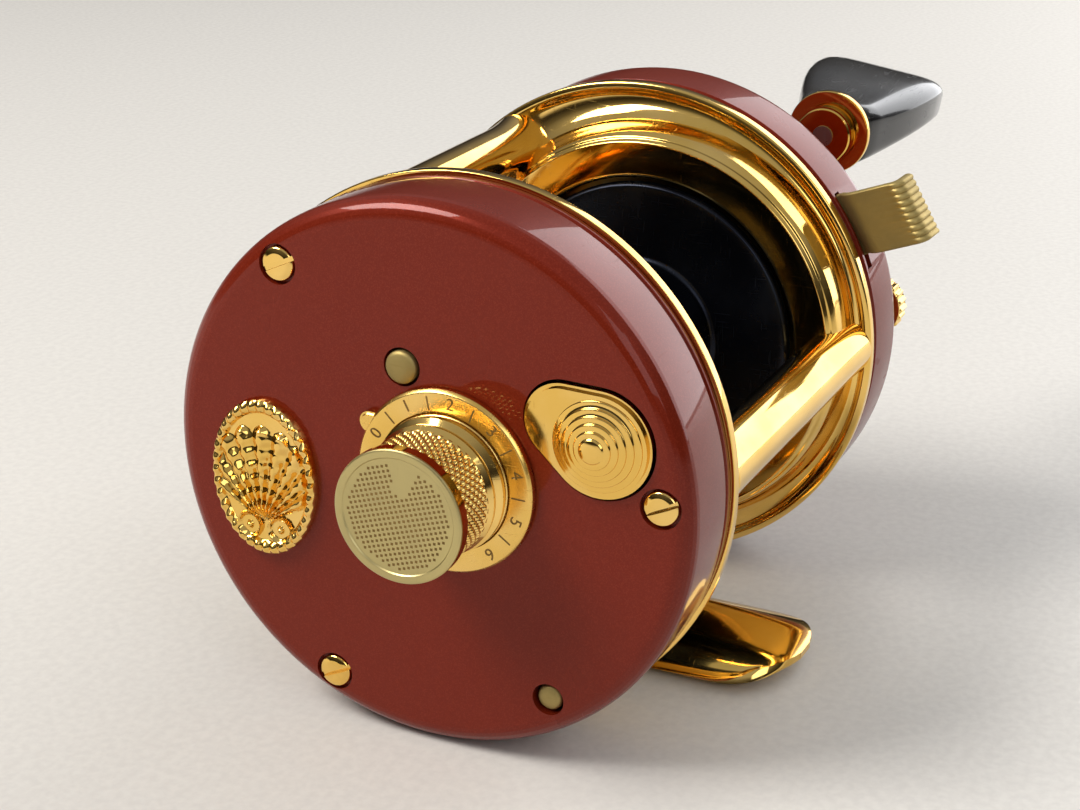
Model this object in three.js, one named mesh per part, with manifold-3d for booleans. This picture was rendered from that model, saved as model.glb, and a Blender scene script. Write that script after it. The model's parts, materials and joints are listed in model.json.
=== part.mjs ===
// Baitcasting reel with a round frame, an offset spool and a counterbalanced handle.
// Millimetres. +X is the handle side, +Y points along the rod to its tip, +Z is up.
// The origin is the middle of the underside of the reel foot, where the rod seat bears.

import * as THREE from 'three';
import { mergeVertices } from 'three/addons/utils/BufferGeometryUtils.js';
import Module from 'manifold-3d';

const wasm = await Module();
wasm.setup();

// ---- driving dimensions -------------------------------------------------

const AXIS_HEIGHT = 28.1;            // side plate centre above the foot's underside
const GAP = 0.1;                     // between flat faces that bear on each other
const CLEARANCE = 0.3;               // around a faceted shaft, rim or button in its hole

const RIM_RADIUS = 30;
const FRAME_HALF = 22.9;             // side plate centre line to the back of a frame ring
const COVER_RADIUS = 29.7;
const COVER_DEPTH = 10.7;
const COVER_FACE = FRAME_HALF + COVER_DEPTH;
const COVER_WALL = 1.4;
const BRIDGE_INNER = 23.2;           // inner plates behind each frame ring
const BRIDGE_OUTER = 24.3;
const BRIDGE_RADIUS = 27.6;

const SPOOL_AXIS = [-3.2, 1.1];      // [y, z] from the side plate centre
const SPOOL_RADIUS = 18.4;
const SPOOL_SHAFT_RADIUS = 1.25;
const LIP_FACE = 15.8;               // raised lip of a ring around the spool opening

const BOLT_CIRCLE = 26.45;
const BOLT_ANGLES = { top_front: 37.6, bottom_front: 155.9, rear: -84.8 };  // degrees forward of up
const PILLAR_RADIUS = { top_front: 2.9, bottom_front: 2.4, rear: 3.3 };
const BOLT_RADIUS = 0.9;
const BOLT_HOLE = 1.25;
const REAR_PILLAR = [-26.6, 1.2];    // set lower than its screw to make room for the rod
const ROD = [-26.8, -0.5];
const ROD_RADIUS = 0.6;

const FOOT_LENGTH = 62;
const FOOT_WIDTH = 18;
const FOOT_THICKNESS = 1.2;
const FOOT_FLAT = 6;                 // width of the flat along the crown of the arch
const FOOT_DROP = 1.4;               // sides of the arch below its crown
const FOOT_UNDERSIDE = -AXIS_HEIGHT;

const GEAR_MODULE = 0.47;
const PINION_TEETH = 12;
const DRIVE_TEETH = 56;
const DRIVE_DISTANCE = (PINION_TEETH + DRIVE_TEETH) * GEAR_MODULE / 2;
const DRIVE_ANGLE = 129;             // degrees forward of up, seen from the spool axis
const WORM_AXIS = [22.5, -1];
const WORM_MODULE = 0.5;
const SPOOL_GEAR_TEETH = 12;
const IDLER_TEETH = 37;
const WORM_GEAR_TEETH = 18;
const TUBE_RADIUS = 3.4;
const GUIDE_ROD = [19.4, -10.5];
const GUIDE_ROD_RADIUS = 1;

const KNOB_REACH = 39.4;             // handle axis to knob axis
const KNOB_ANGLE = -40.4;            // knob direction, degrees forward of up
const COUNTERWEIGHT_REACH = 19;
const PADDLE_TILT = 8;               // degrees that the knob's flat faces lean at rest

const DRIVE_AXIS = polar(DRIVE_DISTANCE, DRIVE_ANGLE, SPOOL_AXIS);
const KNOB_AXIS = polar(KNOB_REACH, KNOB_ANGLE, DRIVE_AXIS);
const COUNTERWEIGHT_AXIS = polar(COUNTERWEIGHT_REACH, KNOB_ANGLE + 180, DRIVE_AXIS);

// ---- materials ----------------------------------------------------------

const gold = finish('#d9a648', 0.16, 1);
const brass = finish('#c9a45a', 0.34, 1);
const dullBrass = finish('#ad9560', 0.42, 1);
const redLacquer = finish('#7a3224', 0.22, 0.35);
const blackAnodised = finish('#0d0f13', 0.3, 0.8);
const blackPlastic = finish('#15171a', 0.18, 0);
const steel = finish('#b9bcc0', 0.28, 1);
const nylon = finish('#d8d2c0', 0.55, 0);
const leather = finish('#5b4634', 0.8, 0);

// ---- the object ---------------------------------------------------------

const reel = new THREE.Group();
reel.position.z = AXIS_HEIGHT;

// ---- helpers ------------------------------------------------------------

function finish(colour, roughness, metalness) {
  return { color: colour, roughness, metalness };
}

// A point [y, z] at a radius and an angle in degrees forward of straight up.
function polar(radius, degrees, centre = [0, 0]) {
  const angle = THREE.MathUtils.degToRad(degrees);
  return [centre[0] + radius * Math.sin(angle), centre[1] + radius * Math.cos(angle)];
}

function distance(a, b) {
  return Math.hypot(a[0] - b[0], a[1] - b[1]);
}

// Adds one named piece. A piece is given as a solid with its position already in it.
function add(name, shape, look) {
  const mesh = new THREE.Mesh(geometryOf(shape), new THREE.MeshStandardMaterial(look));
  mesh.name = name;
  reel.add(mesh);
}

// Turns a closed three.js geometry into a solid for joining and cutting.
function solid(source) {
  const geometry = source.clone();
  geometry.deleteAttribute('normal');
  geometry.deleteAttribute('uv');
  const merged = mergeVertices(geometry, 1e-4);
  const position = merged.getAttribute('position');
  const corners = merged.getIndex().array;
  const kept = [];
  let volume = 0;
  const [a, b, c] = [new THREE.Vector3(), new THREE.Vector3(), new THREE.Vector3()];
  for (let i = 0; i < corners.length; i += 3) {
    const [p, q, r] = [corners[i], corners[i + 1], corners[i + 2]];
    if (p === q || q === r || r === p) continue;
    kept.push(p, q, r);
    a.fromBufferAttribute(position, p);
    b.fromBufferAttribute(position, q);
    c.fromBufferAttribute(position, r);
    volume += a.dot(b.cross(c));
  }
  if (volume < 0) kept.reverse();
  return new wasm.Manifold(new wasm.Mesh({
    numProp: 3,
    vertProperties: new Float32Array(position.array),
    triVerts: new Uint32Array(kept),
  }));
}

function geometryOf(shape) {
  const { vertProperties, triVerts } = shape.getMesh();
  const geometry = new THREE.BufferGeometry();
  geometry.setAttribute('position', new THREE.BufferAttribute(new Float32Array(vertProperties), 3));
  geometry.setIndex(new THREE.BufferAttribute(new Uint32Array(triVerts), 1));
  geometry.computeVertexNormals();
  return geometry;
}

function cutAll(shape, tools) {
  return tools.reduce((left, tool) => left.subtract(tool), shape);
}

function joinAll(shapes) {
  return shapes.reduce((whole, shape) => whole.add(shape));
}

// A round bar along X at [y, z].
function bar(radius, x0, x1, at = [0, 0], segments = 10) {
  const geometry = new THREE.CylinderGeometry(radius, radius, Math.abs(x1 - x0), segments);
  geometry.rotateZ(-Math.PI / 2);
  geometry.translate((x0 + x1) / 2, at[0], at[1]);
  return solid(geometry);
}

// A round bar standing along Z.
function post(radius, x, y, z0, z1, segments = 16) {
  const geometry = new THREE.CylinderGeometry(radius, radius, z1 - z0, segments);
  geometry.rotateX(Math.PI / 2);
  geometry.translate(x, y, (z0 + z1) / 2);
  return solid(geometry);
}

function block(x0, x1, y0, y1, z0, z1) {
  const geometry = new THREE.BoxGeometry(x1 - x0, y1 - y0, z1 - z0);
  geometry.translate((x0 + x1) / 2, (y0 + y1) / 2, (z0 + z1) / 2);
  return solid(geometry);
}

// A turned piece: profile points are [radius, x]; side -1 mirrors it to the left plate.
function turned(profile, at = [0, 0], segments = 36, side = 1) {
  const points = profile.map(([radius, x]) => new THREE.Vector2(radius, x * side));
  if (profile[0][0] > 0) points.push(points[0].clone());
  const geometry = new THREE.LatheGeometry(points, segments);
  geometry.rotateZ(-Math.PI / 2);
  geometry.translate(0, at[0], at[1]);
  return solid(geometry);
}

// A flat piece: an outline in Y and Z, thick along X.
function plate(shape, x0, x1, curveSegments = 3) {
  const options = { depth: Math.abs(x1 - x0), bevelEnabled: false, curveSegments };
  const geometry = new THREE.ExtrudeGeometry(shape, options);
  const [X, Y, Z] = [new THREE.Vector3(1, 0, 0), new THREE.Vector3(0, 1, 0), new THREE.Vector3(0, 0, 1)];
  geometry.applyMatrix4(new THREE.Matrix4().makeBasis(Y, Z, X));
  geometry.translate(Math.min(x0, x1), 0, 0);
  return solid(geometry);
}

// Outline around two circles joined by their outer tangents.
function strap(first, firstRadius, second, secondRadius) {
  const heading = Math.atan2(second[1] - first[1], second[0] - first[0]);
  const spread = Math.acos((firstRadius - secondRadius) / distance(first, second));
  const shape = new THREE.Shape();
  shape.absarc(first[0], first[1], firstRadius, heading + spread, heading - spread + 2 * Math.PI, false);
  shape.absarc(second[0], second[1], secondRadius, heading - spread, heading + spread, false);
  return shape;
}

// A ring whose sections shift from the side plate centre (shift 0) to the spool axis (shift 1).
// Profile points are [radius, x, shift].
function shiftedRing(profile, side, segments = 32) {
  const positions = [];
  const index = [];
  const count = profile.length;
  for (let step = 0; step < segments; step++) {
    const angle = 2 * Math.PI * step / segments;
    for (const [radius, x, shift] of profile) {
      const y = shift * SPOOL_AXIS[0] + radius * Math.cos(angle);
      const z = shift * SPOOL_AXIS[1] + radius * Math.sin(angle);
      positions.push(side * x, y, z);
    }
    const next = (step + 1) % segments;
    for (let i = 0; i < count; i++) {
      const j = (i + 1) % count;
      const [a, b, c, d] = [step * count + i, step * count + j, next * count + j, next * count + i];
      index.push(a, b, c, a, c, d);
    }
  }
  const geometry = new THREE.BufferGeometry();
  geometry.setAttribute('position', new THREE.BufferAttribute(new Float32Array(positions), 3));
  geometry.setIndex(index);
  return solid(geometry);
}

// A straight-cut gear or ratchet outline with a tooth pointing along phase (radians from +Y to +Z).
function gearOutline(teeth, module, phase, lean = 0) {
  const pitch = 2 * Math.PI / teeth;
  const root = (teeth / 2 - 1.3) * module;
  const tip = (teeth / 2 + 0.8) * module;
  const corners = [[tip, -0.05 + lean], [tip, 0.05 + lean], [root, 0.5]];
  const points = [];
  for (let tooth = 0; tooth < teeth; tooth++) {
    for (const [radius, offset] of corners) {
      const angle = phase + (tooth + offset) * pitch;
      points.push(new THREE.Vector2(radius * Math.cos(angle), radius * Math.sin(angle)));
    }
  }
  return points;
}

function gear(teeth, module, phase, x0, x1, at, lean = 0) {
  const points = gearOutline(teeth, module, phase, lean);
  const shape = new THREE.Shape(points.map((point) => point.add(new THREE.Vector2(at[0], at[1]))));
  return plate(shape, x0, x1);
}

function heading(from, to) {
  return Math.atan2(to[1] - from[1], to[0] - from[0]);
}

// The phase that puts a gap of this gear on the line to a mating gear whose tooth is at matePhase.
function meshedPhase(teeth, at, mateTeeth, mateAt, matePhase) {
  const toMate = heading(at, mateAt);
  const fromMate = heading(mateAt, at);
  const mateOffset = (fromMate - matePhase) * mateTeeth / (2 * Math.PI);
  const toothPastLine = mateOffset - Math.round(mateOffset);
  return toMate + (0.5 + toothPastLine) * 2 * Math.PI / teeth;
}

// Fine ribs around a turned grip, as a scalloped outline.
function ribbedRing(radius, depth, ribs, x0, x1, at) {
  const points = [];
  for (let rib = 0; rib < 2 * ribs; rib++) {
    const angle = Math.PI * rib / ribs;
    const reach = rib % 2 ? radius - depth : radius;
    points.push(new THREE.Vector2(at[0] + reach * Math.cos(angle), at[1] + reach * Math.sin(angle)));
  }
  return plate(new THREE.Shape(points), x0, x1);
}

// A coil spring along X, its wire centre on a helix.
function coil(radius, wire, x0, x1, turns, at) {
  class Helix extends THREE.Curve {
    getPoint(t, target = new THREE.Vector3()) {
      const angle = 2 * Math.PI * turns * t;
      const y = at[0] + radius * Math.cos(angle);
      const z = at[1] + radius * Math.sin(angle);
      return target.set(x0 + wire + (x1 - x0 - 2 * wire) * t, y, z);
    }
  }
  const section = new THREE.Shape();
  const sides = 5;
  for (let i = 0; i < sides; i++) {
    const angle = 2 * Math.PI * i / sides;
    const corner = [wire * Math.cos(angle), wire * Math.sin(angle)];
    if (i === 0) section.moveTo(...corner);
    else section.lineTo(...corner);
  }
  const steps = Math.round(turns * 9);
  const options = { extrudePath: new Helix(), steps, bevelEnabled: false };
  const geometry = new THREE.ExtrudeGeometry(section, options);
  return solid(geometry);
}

function boltAt(name) {
  return polar(BOLT_CIRCLE, BOLT_ANGLES[name]);
}

// ---- frame --------------------------------------------------------------

// Front surface of a ring, from the rim over the trough and up to the lip, then [radius, x, shift].
function ringFront() {
  return [
    [RIM_RADIUS, FRAME_HALF - 1.3, 0],
    [RIM_RADIUS - 0.8, FRAME_HALF - 1.5, 0],
    [28.3, 21.75, 0.08],
    [26.8, 21.6, 0.4],
    [25.1, 20.2, 0.84],
    [24.2, 17.2, 1],
    [23.3, LIP_FACE, 1],
    [19.3, LIP_FACE + 0.4, 1],
    [18.9, LIP_FACE + 0.9, 1],
  ];
}

function ringBack() {
  return [
    [18.9, 17.7, 1],
    [22.7, 17.4, 1],
    [24.4, FRAME_HALF, 0.75],
    [RIM_RADIUS, FRAME_HALF, 0],
  ];
}

// Everything behind a ring's front surface, moved inward so that bars stop short of the ring.
function ringPlug(side) {
  const plug = shiftedRing([...ringFront(), [18.9, 26, 1], [RIM_RADIUS, 26, 0]], side);
  return plug.translate([-side * CLEARANCE, 0, 0]);
}

function buildFrame() {
  for (const [name, side] of [['left_ring', -1], ['right_ring', 1]]) {
    const [near, far] = [side * 14, side * 24];
    const holes = Object.keys(BOLT_ANGLES).map((bolt) => bar(BOLT_HOLE, near, far, boltAt(bolt)));
    holes.push(bar(ROD_RADIUS + CLEARANCE, near, far, ROD));
    holes.push(bar(TUBE_RADIUS + CLEARANCE, near, far, WORM_AXIS));
    holes.push(bar(GUIDE_ROD_RADIUS + CLEARANCE, near, far, GUIDE_ROD, 16));
    add(name, cutAll(shiftedRing([...ringFront(), ...ringBack()], side), holes), gold);
  }
  for (const name of Object.keys(BOLT_ANGLES)) {
    add(`${name}_pillar`, pillar(name), gold);
  }
}

// A round bar between the rings, flared where it meets them, with a blind screw hole at each end.
function pillar(name) {
  const radius = PILLAR_RADIUS[name];
  const at = name === 'rear' ? REAR_PILLAR : boltAt(name);
  const flare = name === 'rear' ? 0 : 0.5;
  const end = FRAME_HALF - 1.6;
  const profile = [
    [0, -end],
    [radius + flare, -end],
    [radius + flare, -end + 2.5],
    [radius, -end + 5],
    [radius, end - 5],
    [radius + flare, end - 2.5],
    [radius + flare, end],
    [0, end],
  ];
  const tools = [ringPlug(-1), ringPlug(1)];
  for (const side of [-1, 1]) {
    tools.push(bar(BOLT_HOLE, side * 15, side * 24, boltAt(name)));
  }
  if (name === 'rear') tools.push(bar(ROD_RADIUS + CLEARANCE, -25, 25, ROD));
  return largestPiece(cutAll(turned(profile, at, 16), tools));
}

// Thin slivers left behind the ring surface are dropped.
function largestPiece(shape) {
  return shape.decompose().reduce((best, piece) => (piece.volume() > best.volume() ? piece : best));
}

// ---- foot ---------------------------------------------------------------

function buildFoot() {
  const rivets = [-5.2, 4.2];
  const holes = rivets.map((y) => post(1.6, 0, y, -31, -20));
  const crown = FOOT_UNDERSIDE + FOOT_THICKNESS;
  const bridge = block(-22, 22, -7.5, 6, crown + GAP, crown + GAP + 1.6);
  add('foot_bridge', largestPiece(cutAll(bridge, [ringPlug(-1), ringPlug(1), ...holes])), gold);
  add('reel_foot', cutAll(footArch().intersect(footPlan()), holes), gold);
  for (const [name, y] of [['rear_rivet', rivets[0]], ['front_rivet', rivets[1]]]) {
    add(name, rivet(y, crown + GAP + 1.6), gold);
  }
}

// Arched section, with a flat along its crown, swept along Y.
function footArch() {
  const half = FOOT_WIDTH / 2;
  const inner = [];
  const steps = 5;
  for (let i = 0; i <= steps; i++) {
    const across = i / steps;
    inner.push([FOOT_FLAT / 2 + (half - FOOT_FLAT / 2) * across, -FOOT_DROP * across * across]);
  }
  const outer = inner.map(([x, z]) => [x - 0.05, z + FOOT_THICKNESS]).reverse();
  const rightHalf = [...inner, ...outer];
  const leftHalf = rightHalf.map(([x, z]) => [-x, z]).reverse();
  const shape = new THREE.Shape([...rightHalf, ...leftHalf].map(([x, z]) => new THREE.Vector2(x, z)));
  const geometry = new THREE.ExtrudeGeometry(shape, { depth: FOOT_LENGTH, bevelEnabled: false });
  geometry.rotateX(Math.PI / 2);
  geometry.translate(0, FOOT_LENGTH / 2, FOOT_UNDERSIDE);
  return solid(geometry);
}

// Plan outline with rounded tips.
function footPlan() {
  const half = FOOT_WIDTH / 2 + 1;
  const end = FOOT_LENGTH / 2;
  const shape = new THREE.Shape();
  shape.moveTo(half, -end + 7);
  shape.lineTo(half, end - 7);
  shape.bezierCurveTo(half, end, 4, end, 0, end);
  shape.bezierCurveTo(-4, end, -half, end, -half, end - 7);
  shape.lineTo(-half, -end + 7);
  shape.bezierCurveTo(-half, -end, -4, -end, 0, -end);
  shape.bezierCurveTo(4, -end, half, -end, half, -end + 7);
  const geometry = new THREE.ExtrudeGeometry(shape, { depth: 8, bevelEnabled: false, curveSegments: 7 });
  geometry.translate(0, 0, -33);
  return solid(geometry);
}

function rivet(y, seat) {
  const profile = [[0, 0], [1.3, 0], [1.3, seat - FOOT_UNDERSIDE + GAP], [2.5, seat - FOOT_UNDERSIDE + GAP]];
  profile.push([2, seat - FOOT_UNDERSIDE + 0.8], [0, seat - FOOT_UNDERSIDE + 1.1]);
  const geometry = new THREE.LatheGeometry(profile.map((p) => new THREE.Vector2(...p)), 16);
  geometry.rotateX(Math.PI / 2);
  geometry.translate(0, y, FOOT_UNDERSIDE);
  return solid(geometry);
}

// ---- side covers --------------------------------------------------------

// A cup with a rounded edge and a shallow step beside the frame ring.
function coverCup(side) {
  const edge = 2.1;
  const profile = [[0, COVER_FACE], [COVER_RADIUS - edge, COVER_FACE]];
  for (const degrees of [45, 90]) {
    const angle = THREE.MathUtils.degToRad(degrees);
    const radius = COVER_RADIUS - edge + edge * Math.sin(angle);
    profile.push([radius, COVER_FACE - edge + edge * Math.cos(angle)]);
  }
  profile.push([COVER_RADIUS, FRAME_HALF + 1.7]);
  profile.push([COVER_RADIUS - 0.4, FRAME_HALF + 1.5]);
  profile.push([COVER_RADIUS - 0.4, FRAME_HALF + GAP]);
  profile.push([COVER_RADIUS - COVER_WALL, FRAME_HALF + GAP]);
  profile.push([COVER_RADIUS - COVER_WALL, COVER_FACE - COVER_WALL]);
  profile.push([0, COVER_FACE - COVER_WALL]);
  return turned(profile, [0, 0], 36, side);
}

function bridgePlate(side, tools) {
  return cutAll(bar(BRIDGE_RADIUS, side * BRIDGE_INNER, side * BRIDGE_OUTER, [0, 0], 28), tools);
}

const DIAL_HUB_RADIUS = 6.9;
const BUTTON = [-19.9, 8];
const BUTTON_RADIUS = 5.6;
const BUTTON_LOBE = [-16, 9.6];
const BUTTON_LOBE_RADIUS = 4.1;
const INDEX_PIN = [1.9, 12.3];
const LOWER_PIN = [-14.6, -21.3];
const BADGE = [18.4, -2.7];

function buildLeftSide() {
  const [outer, inner] = [-COVER_FACE - 2, -COVER_FACE + 3];
  const tools = [
    bar(DIAL_HUB_RADIUS + CLEARANCE, outer, inner, SPOOL_AXIS, 36),
    plate(buttonOutline(CLEARANCE), outer, inner, 8),
    bar(1.75 + CLEARANCE, outer, inner, INDEX_PIN),
    bar(1.4 + CLEARANCE, outer, inner, LOWER_PIN),
  ];
  for (const name of Object.keys(BOLT_ANGLES)) {
    tools.push(bar(BOLT_HOLE, outer, inner, boltAt(name)));
    tools.push(bar(2.15, outer, -COVER_FACE + 0.7, boltAt(name)));
  }
  add('left_cover', cutAll(coverCup(-1), tools), redLacquer);
  for (const name of Object.keys(BOLT_ANGLES)) {
    add(`${name}_screw`, slottedScrew(boltAt(name)), gold);
  }
  add('index_pin', domedPin(1.75, INDEX_PIN, 0.5), brass);
  add('lower_pin', domedPin(1.4, LOWER_PIN, 0), brass);
  add('badge', badge(), gold);

  const holes = Object.keys(BOLT_ANGLES).map((name) => bar(BOLT_HOLE, -20, -26, boltAt(name)));
  holes.push(bar(ROD_RADIUS + CLEARANCE, -20, -26, ROD));
  holes.push(bar(TUBE_RADIUS + CLEARANCE, -20, -26, WORM_AXIS));
  holes.push(bar(4.2, -20, -26, SPOOL_AXIS));
  const drum = turned([[11.2, 18.4], [12.4, 18.4], [12.4, 23.4], [11.2, 23.4]], SPOOL_AXIS, 32, -1);
  const idlerStud = turned([[0, 24.2], [1.4, 24.2], [1.4, 27.5], [0, 27.5]], IDLER_AXIS, 16, -1);
  add('left_bridge', joinAll([bridgePlate(-1, holes), drum, idlerStud]), brass);
}

function slottedScrew(at) {
  const head = [[0, -33.75], [1.5, -33.7], [1.85, -33.45], [1.85, -33.05], [BOLT_RADIUS, -33.05]];
  const shank = [[BOLT_RADIUS, -19], [0, -19]];
  const slot = solid(new THREE.BoxGeometry(1.2, 5, 0.5).rotateX(THREE.MathUtils.degToRad(-25)));
  return turned([...head, ...shank], at, 20).subtract(slot.translate([-33.75, at[0], at[1]]));
}

function domedPin(radius, at, rise) {
  const face = COVER_FACE + rise;
  const dome = [[radius, face - 0.2], [radius * 0.6, face], [0, face + 0.1]];
  return turned([[0, 27], [radius, 27], ...dome], at, 20, -1);
}

// Oval plaque with a scallop shell: ribs that fan out from the hinge at the bottom.
function badge() {
  const [height, width] = [17.6, 12.6];
  const base = new THREE.Shape();
  base.absellipse(BADGE[0], BADGE[1], width / 2, height / 2, 0, 2 * Math.PI);
  const face = COVER_FACE + GAP;
  const pieces = [plate(base, -face, -face - 0.8, 8)];
  const rim = new THREE.Shape();
  rim.absellipse(BADGE[0], BADGE[1], width / 2, height / 2, 0, 2 * Math.PI);
  const inside = new THREE.Path();
  inside.absellipse(BADGE[0], BADGE[1], width / 2 - 0.8, height / 2 - 0.8, 0, 2 * Math.PI);
  rim.holes.push(inside);
  pieces.push(plate(rim, -face - 0.8, -face - 1.3, 8));
  const hinge = [BADGE[0], BADGE[1] - 5.4];
  for (let rib = -2; rib <= 2; rib++) {
    const tip = polar(11.4 - 0.7 * rib * rib, rib * 20, hinge);
    pieces.push(plate(strap(hinge, 0.5, tip, 1.2), -face - 0.7, -face - 1.2, 2));
  }
  return joinAll(pieces);
}

// ---- cast control and brake dial ----------------------------------------

const DIAL_RADIUS = 9.5;
const KNOB_FRONT = 43.8;

function buildCastControl() {
  const dial = [
    [5.8, 31.4], [DIAL_HUB_RADIUS, 31.4], [DIAL_HUB_RADIUS, COVER_FACE + GAP],
    [DIAL_RADIUS, COVER_FACE + GAP], [DIAL_RADIUS, COVER_FACE + 0.8], [DIAL_RADIUS - 0.3, COVER_FACE + 1.1],
    [5.8, COVER_FACE + 1.1],
  ];
  const pointer = polar(DIAL_RADIUS + 0.2, 47, SPOOL_AXIS);
  const tab = plate(strap(SPOOL_AXIS, 4.5, pointer, 1.1), -COVER_FACE - GAP, -COVER_FACE - 0.9);
  const bore = bar(5.8, -30, -36, SPOOL_AXIS, 28);
  add('brake_dial', turned(dial, SPOOL_AXIS, 28, -1).add(tab).subtract(bore), gold);

  const housing = [[3.9, 27.2], [5.5, 27.2], [5.5, 38.4], [3.2, 38.4], [3.2, 36.6], [3.9, 36.6]];
  add('left_bearing_housing', turned(housing, SPOOL_AXIS, 20, -1), brass);
  const bearing = [[1.7, 28.2], [3.6, 28.2], [3.6, 30.7], [1.7, 30.7]];
  add('left_bearing', turned(bearing, SPOOL_AXIS, 16, -1), steel);

  const [base, front] = [COVER_FACE + 1.5, KNOB_FRONT];
  const knob = [
    [5.8, base], [7.2, base], [7.2, base + 0.6], [6.6, base + 1.1], [6.9, base + 1.7], [6.5, base + 2.1],
    [6.5, front - 1.7], [6.8, front - 1.4], [6.8, front - 0.3], [6.5, front], [0, front],
    [0, 38.8], [5.8, 38.8],
  ];
  add('cast_knob', turned(knob, SPOOL_AXIS, 24, -1), gold);
}

// ---- push button, rod and its arm ---------------------------------------

function buttonOutline(margin = 0) {
  return strap(BUTTON, BUTTON_RADIUS + margin, BUTTON_LOBE, BUTTON_LOBE_RADIUS + margin);
}

function buildRelease() {
  const face = COVER_FACE;
  const pieces = [plate(buttonOutline(), -face - 0.7, -face + 2.3, 7)];
  const dome = [[0, face + 2.4], [1.2, face + 2.3], [1.2, face + 1.9], [2.4, face + 1.8], [2.4, face + 1.3]];
  dome.push([3.6, face + 1.2], [3.6, face + 0.8], [4.7, face + 0.7], [4.7, face], [0, face]);
  pieces.push(turned(dome, BUTTON, 20, -1));
  pieces.push(bar(1.4, -28, -face + 2.3, BUTTON, 16));
  add('push_button', joinAll(pieces), gold);

  const elbow = [-19.9, -0.4];
  const arm = plate(strap(BUTTON, 2.2, elbow, 1.3), -28.1, -27.2)
    .add(plate(strap(elbow, 1.3, ROD, 1.1), -28.1, -27.2));
  add('release_arm', arm.subtract(bar(1.4 + CLEARANCE, -28.5, -27.9, BUTTON)), steel);
  add('release_rod', bar(ROD_RADIUS, -27.1, 28.6, ROD, 12), steel);
  add('button_spring', coil(2, 0.22, -27.1, -24.4, 3, BUTTON), steel);
}

// ---- spool --------------------------------------------------------------

function buildSpool() {
  const half = [
    [9.4, 14.6], [17.8, 15.8], [SPOOL_RADIUS, 16.2], [SPOOL_RADIUS, 17.1], [17.8, 17.1],
    [8.2, 15.9], [8.2, 4], [3.4, 5], [3.4, 12], [1.6, 12],
  ];
  const profile = [...half, ...half.map(([radius, x]) => [radius, -x]).reverse()];
  add('spool', turned(profile, SPOOL_AXIS, 24), blackAnodised);

  const shaft = [
    [0, -36.5], [0.8, -36.5], [SPOOL_SHAFT_RADIUS, -35.8], [SPOOL_SHAFT_RADIUS, -22.4], [3.6, -22.4],
    [3.6, -18.4], [SPOOL_SHAFT_RADIUS, -18.4], [SPOOL_SHAFT_RADIUS, 35], [0, 35],
  ];
  const pins = new THREE.CylinderGeometry(0.5, 0.5, 18, 10);
  pins.rotateX(Math.PI / 2);
  pins.translate(-20.4, SPOOL_AXIS[0], SPOOL_AXIS[1]);
  add('spool_shaft', turned(shaft, SPOOL_AXIS, 16).add(solid(pins)), steel);
  for (const [name, side] of [['upper_brake_block', 1], ['lower_brake_block', -1]]) {
    const middle = SPOOL_AXIS[1] + side * 6.9;
    const [y0, y1] = [SPOOL_AXIS[0] - 1.8, SPOOL_AXIS[0] + 1.8];
    const shape = block(-22.2, -18.6, y0, y1, middle - 1.5, middle + 1.5);
    add(name, shape.subtract(post(0.8, -20.4, SPOOL_AXIS[0], SPOOL_AXIS[1] - 10, SPOOL_AXIS[1] + 10)), nylon);
  }
}

// ---- level wind ---------------------------------------------------------

const IDLER_DISTANCE = (SPOOL_GEAR_TEETH + IDLER_TEETH) * WORM_MODULE / 2;
const WORM_GEAR_DISTANCE = (WORM_GEAR_TEETH + IDLER_TEETH) * WORM_MODULE / 2;
const IDLER_AXIS = thirdCorner(SPOOL_AXIS, IDLER_DISTANCE, WORM_AXIS, WORM_GEAR_DISTANCE);

// The corner below the line between two points, at given distances from them.
function thirdCorner(first, firstReach, second, secondReach) {
  const base = distance(first, second);
  const along = (firstReach ** 2 - secondReach ** 2 + base ** 2) / (2 * base);
  const down = Math.sqrt(firstReach ** 2 - along ** 2);
  const [uy, uz] = [(second[0] - first[0]) / base, (second[1] - first[1]) / base];
  return [first[0] + along * uy + down * uz, first[1] + along * uz - down * uy];
}

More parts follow.
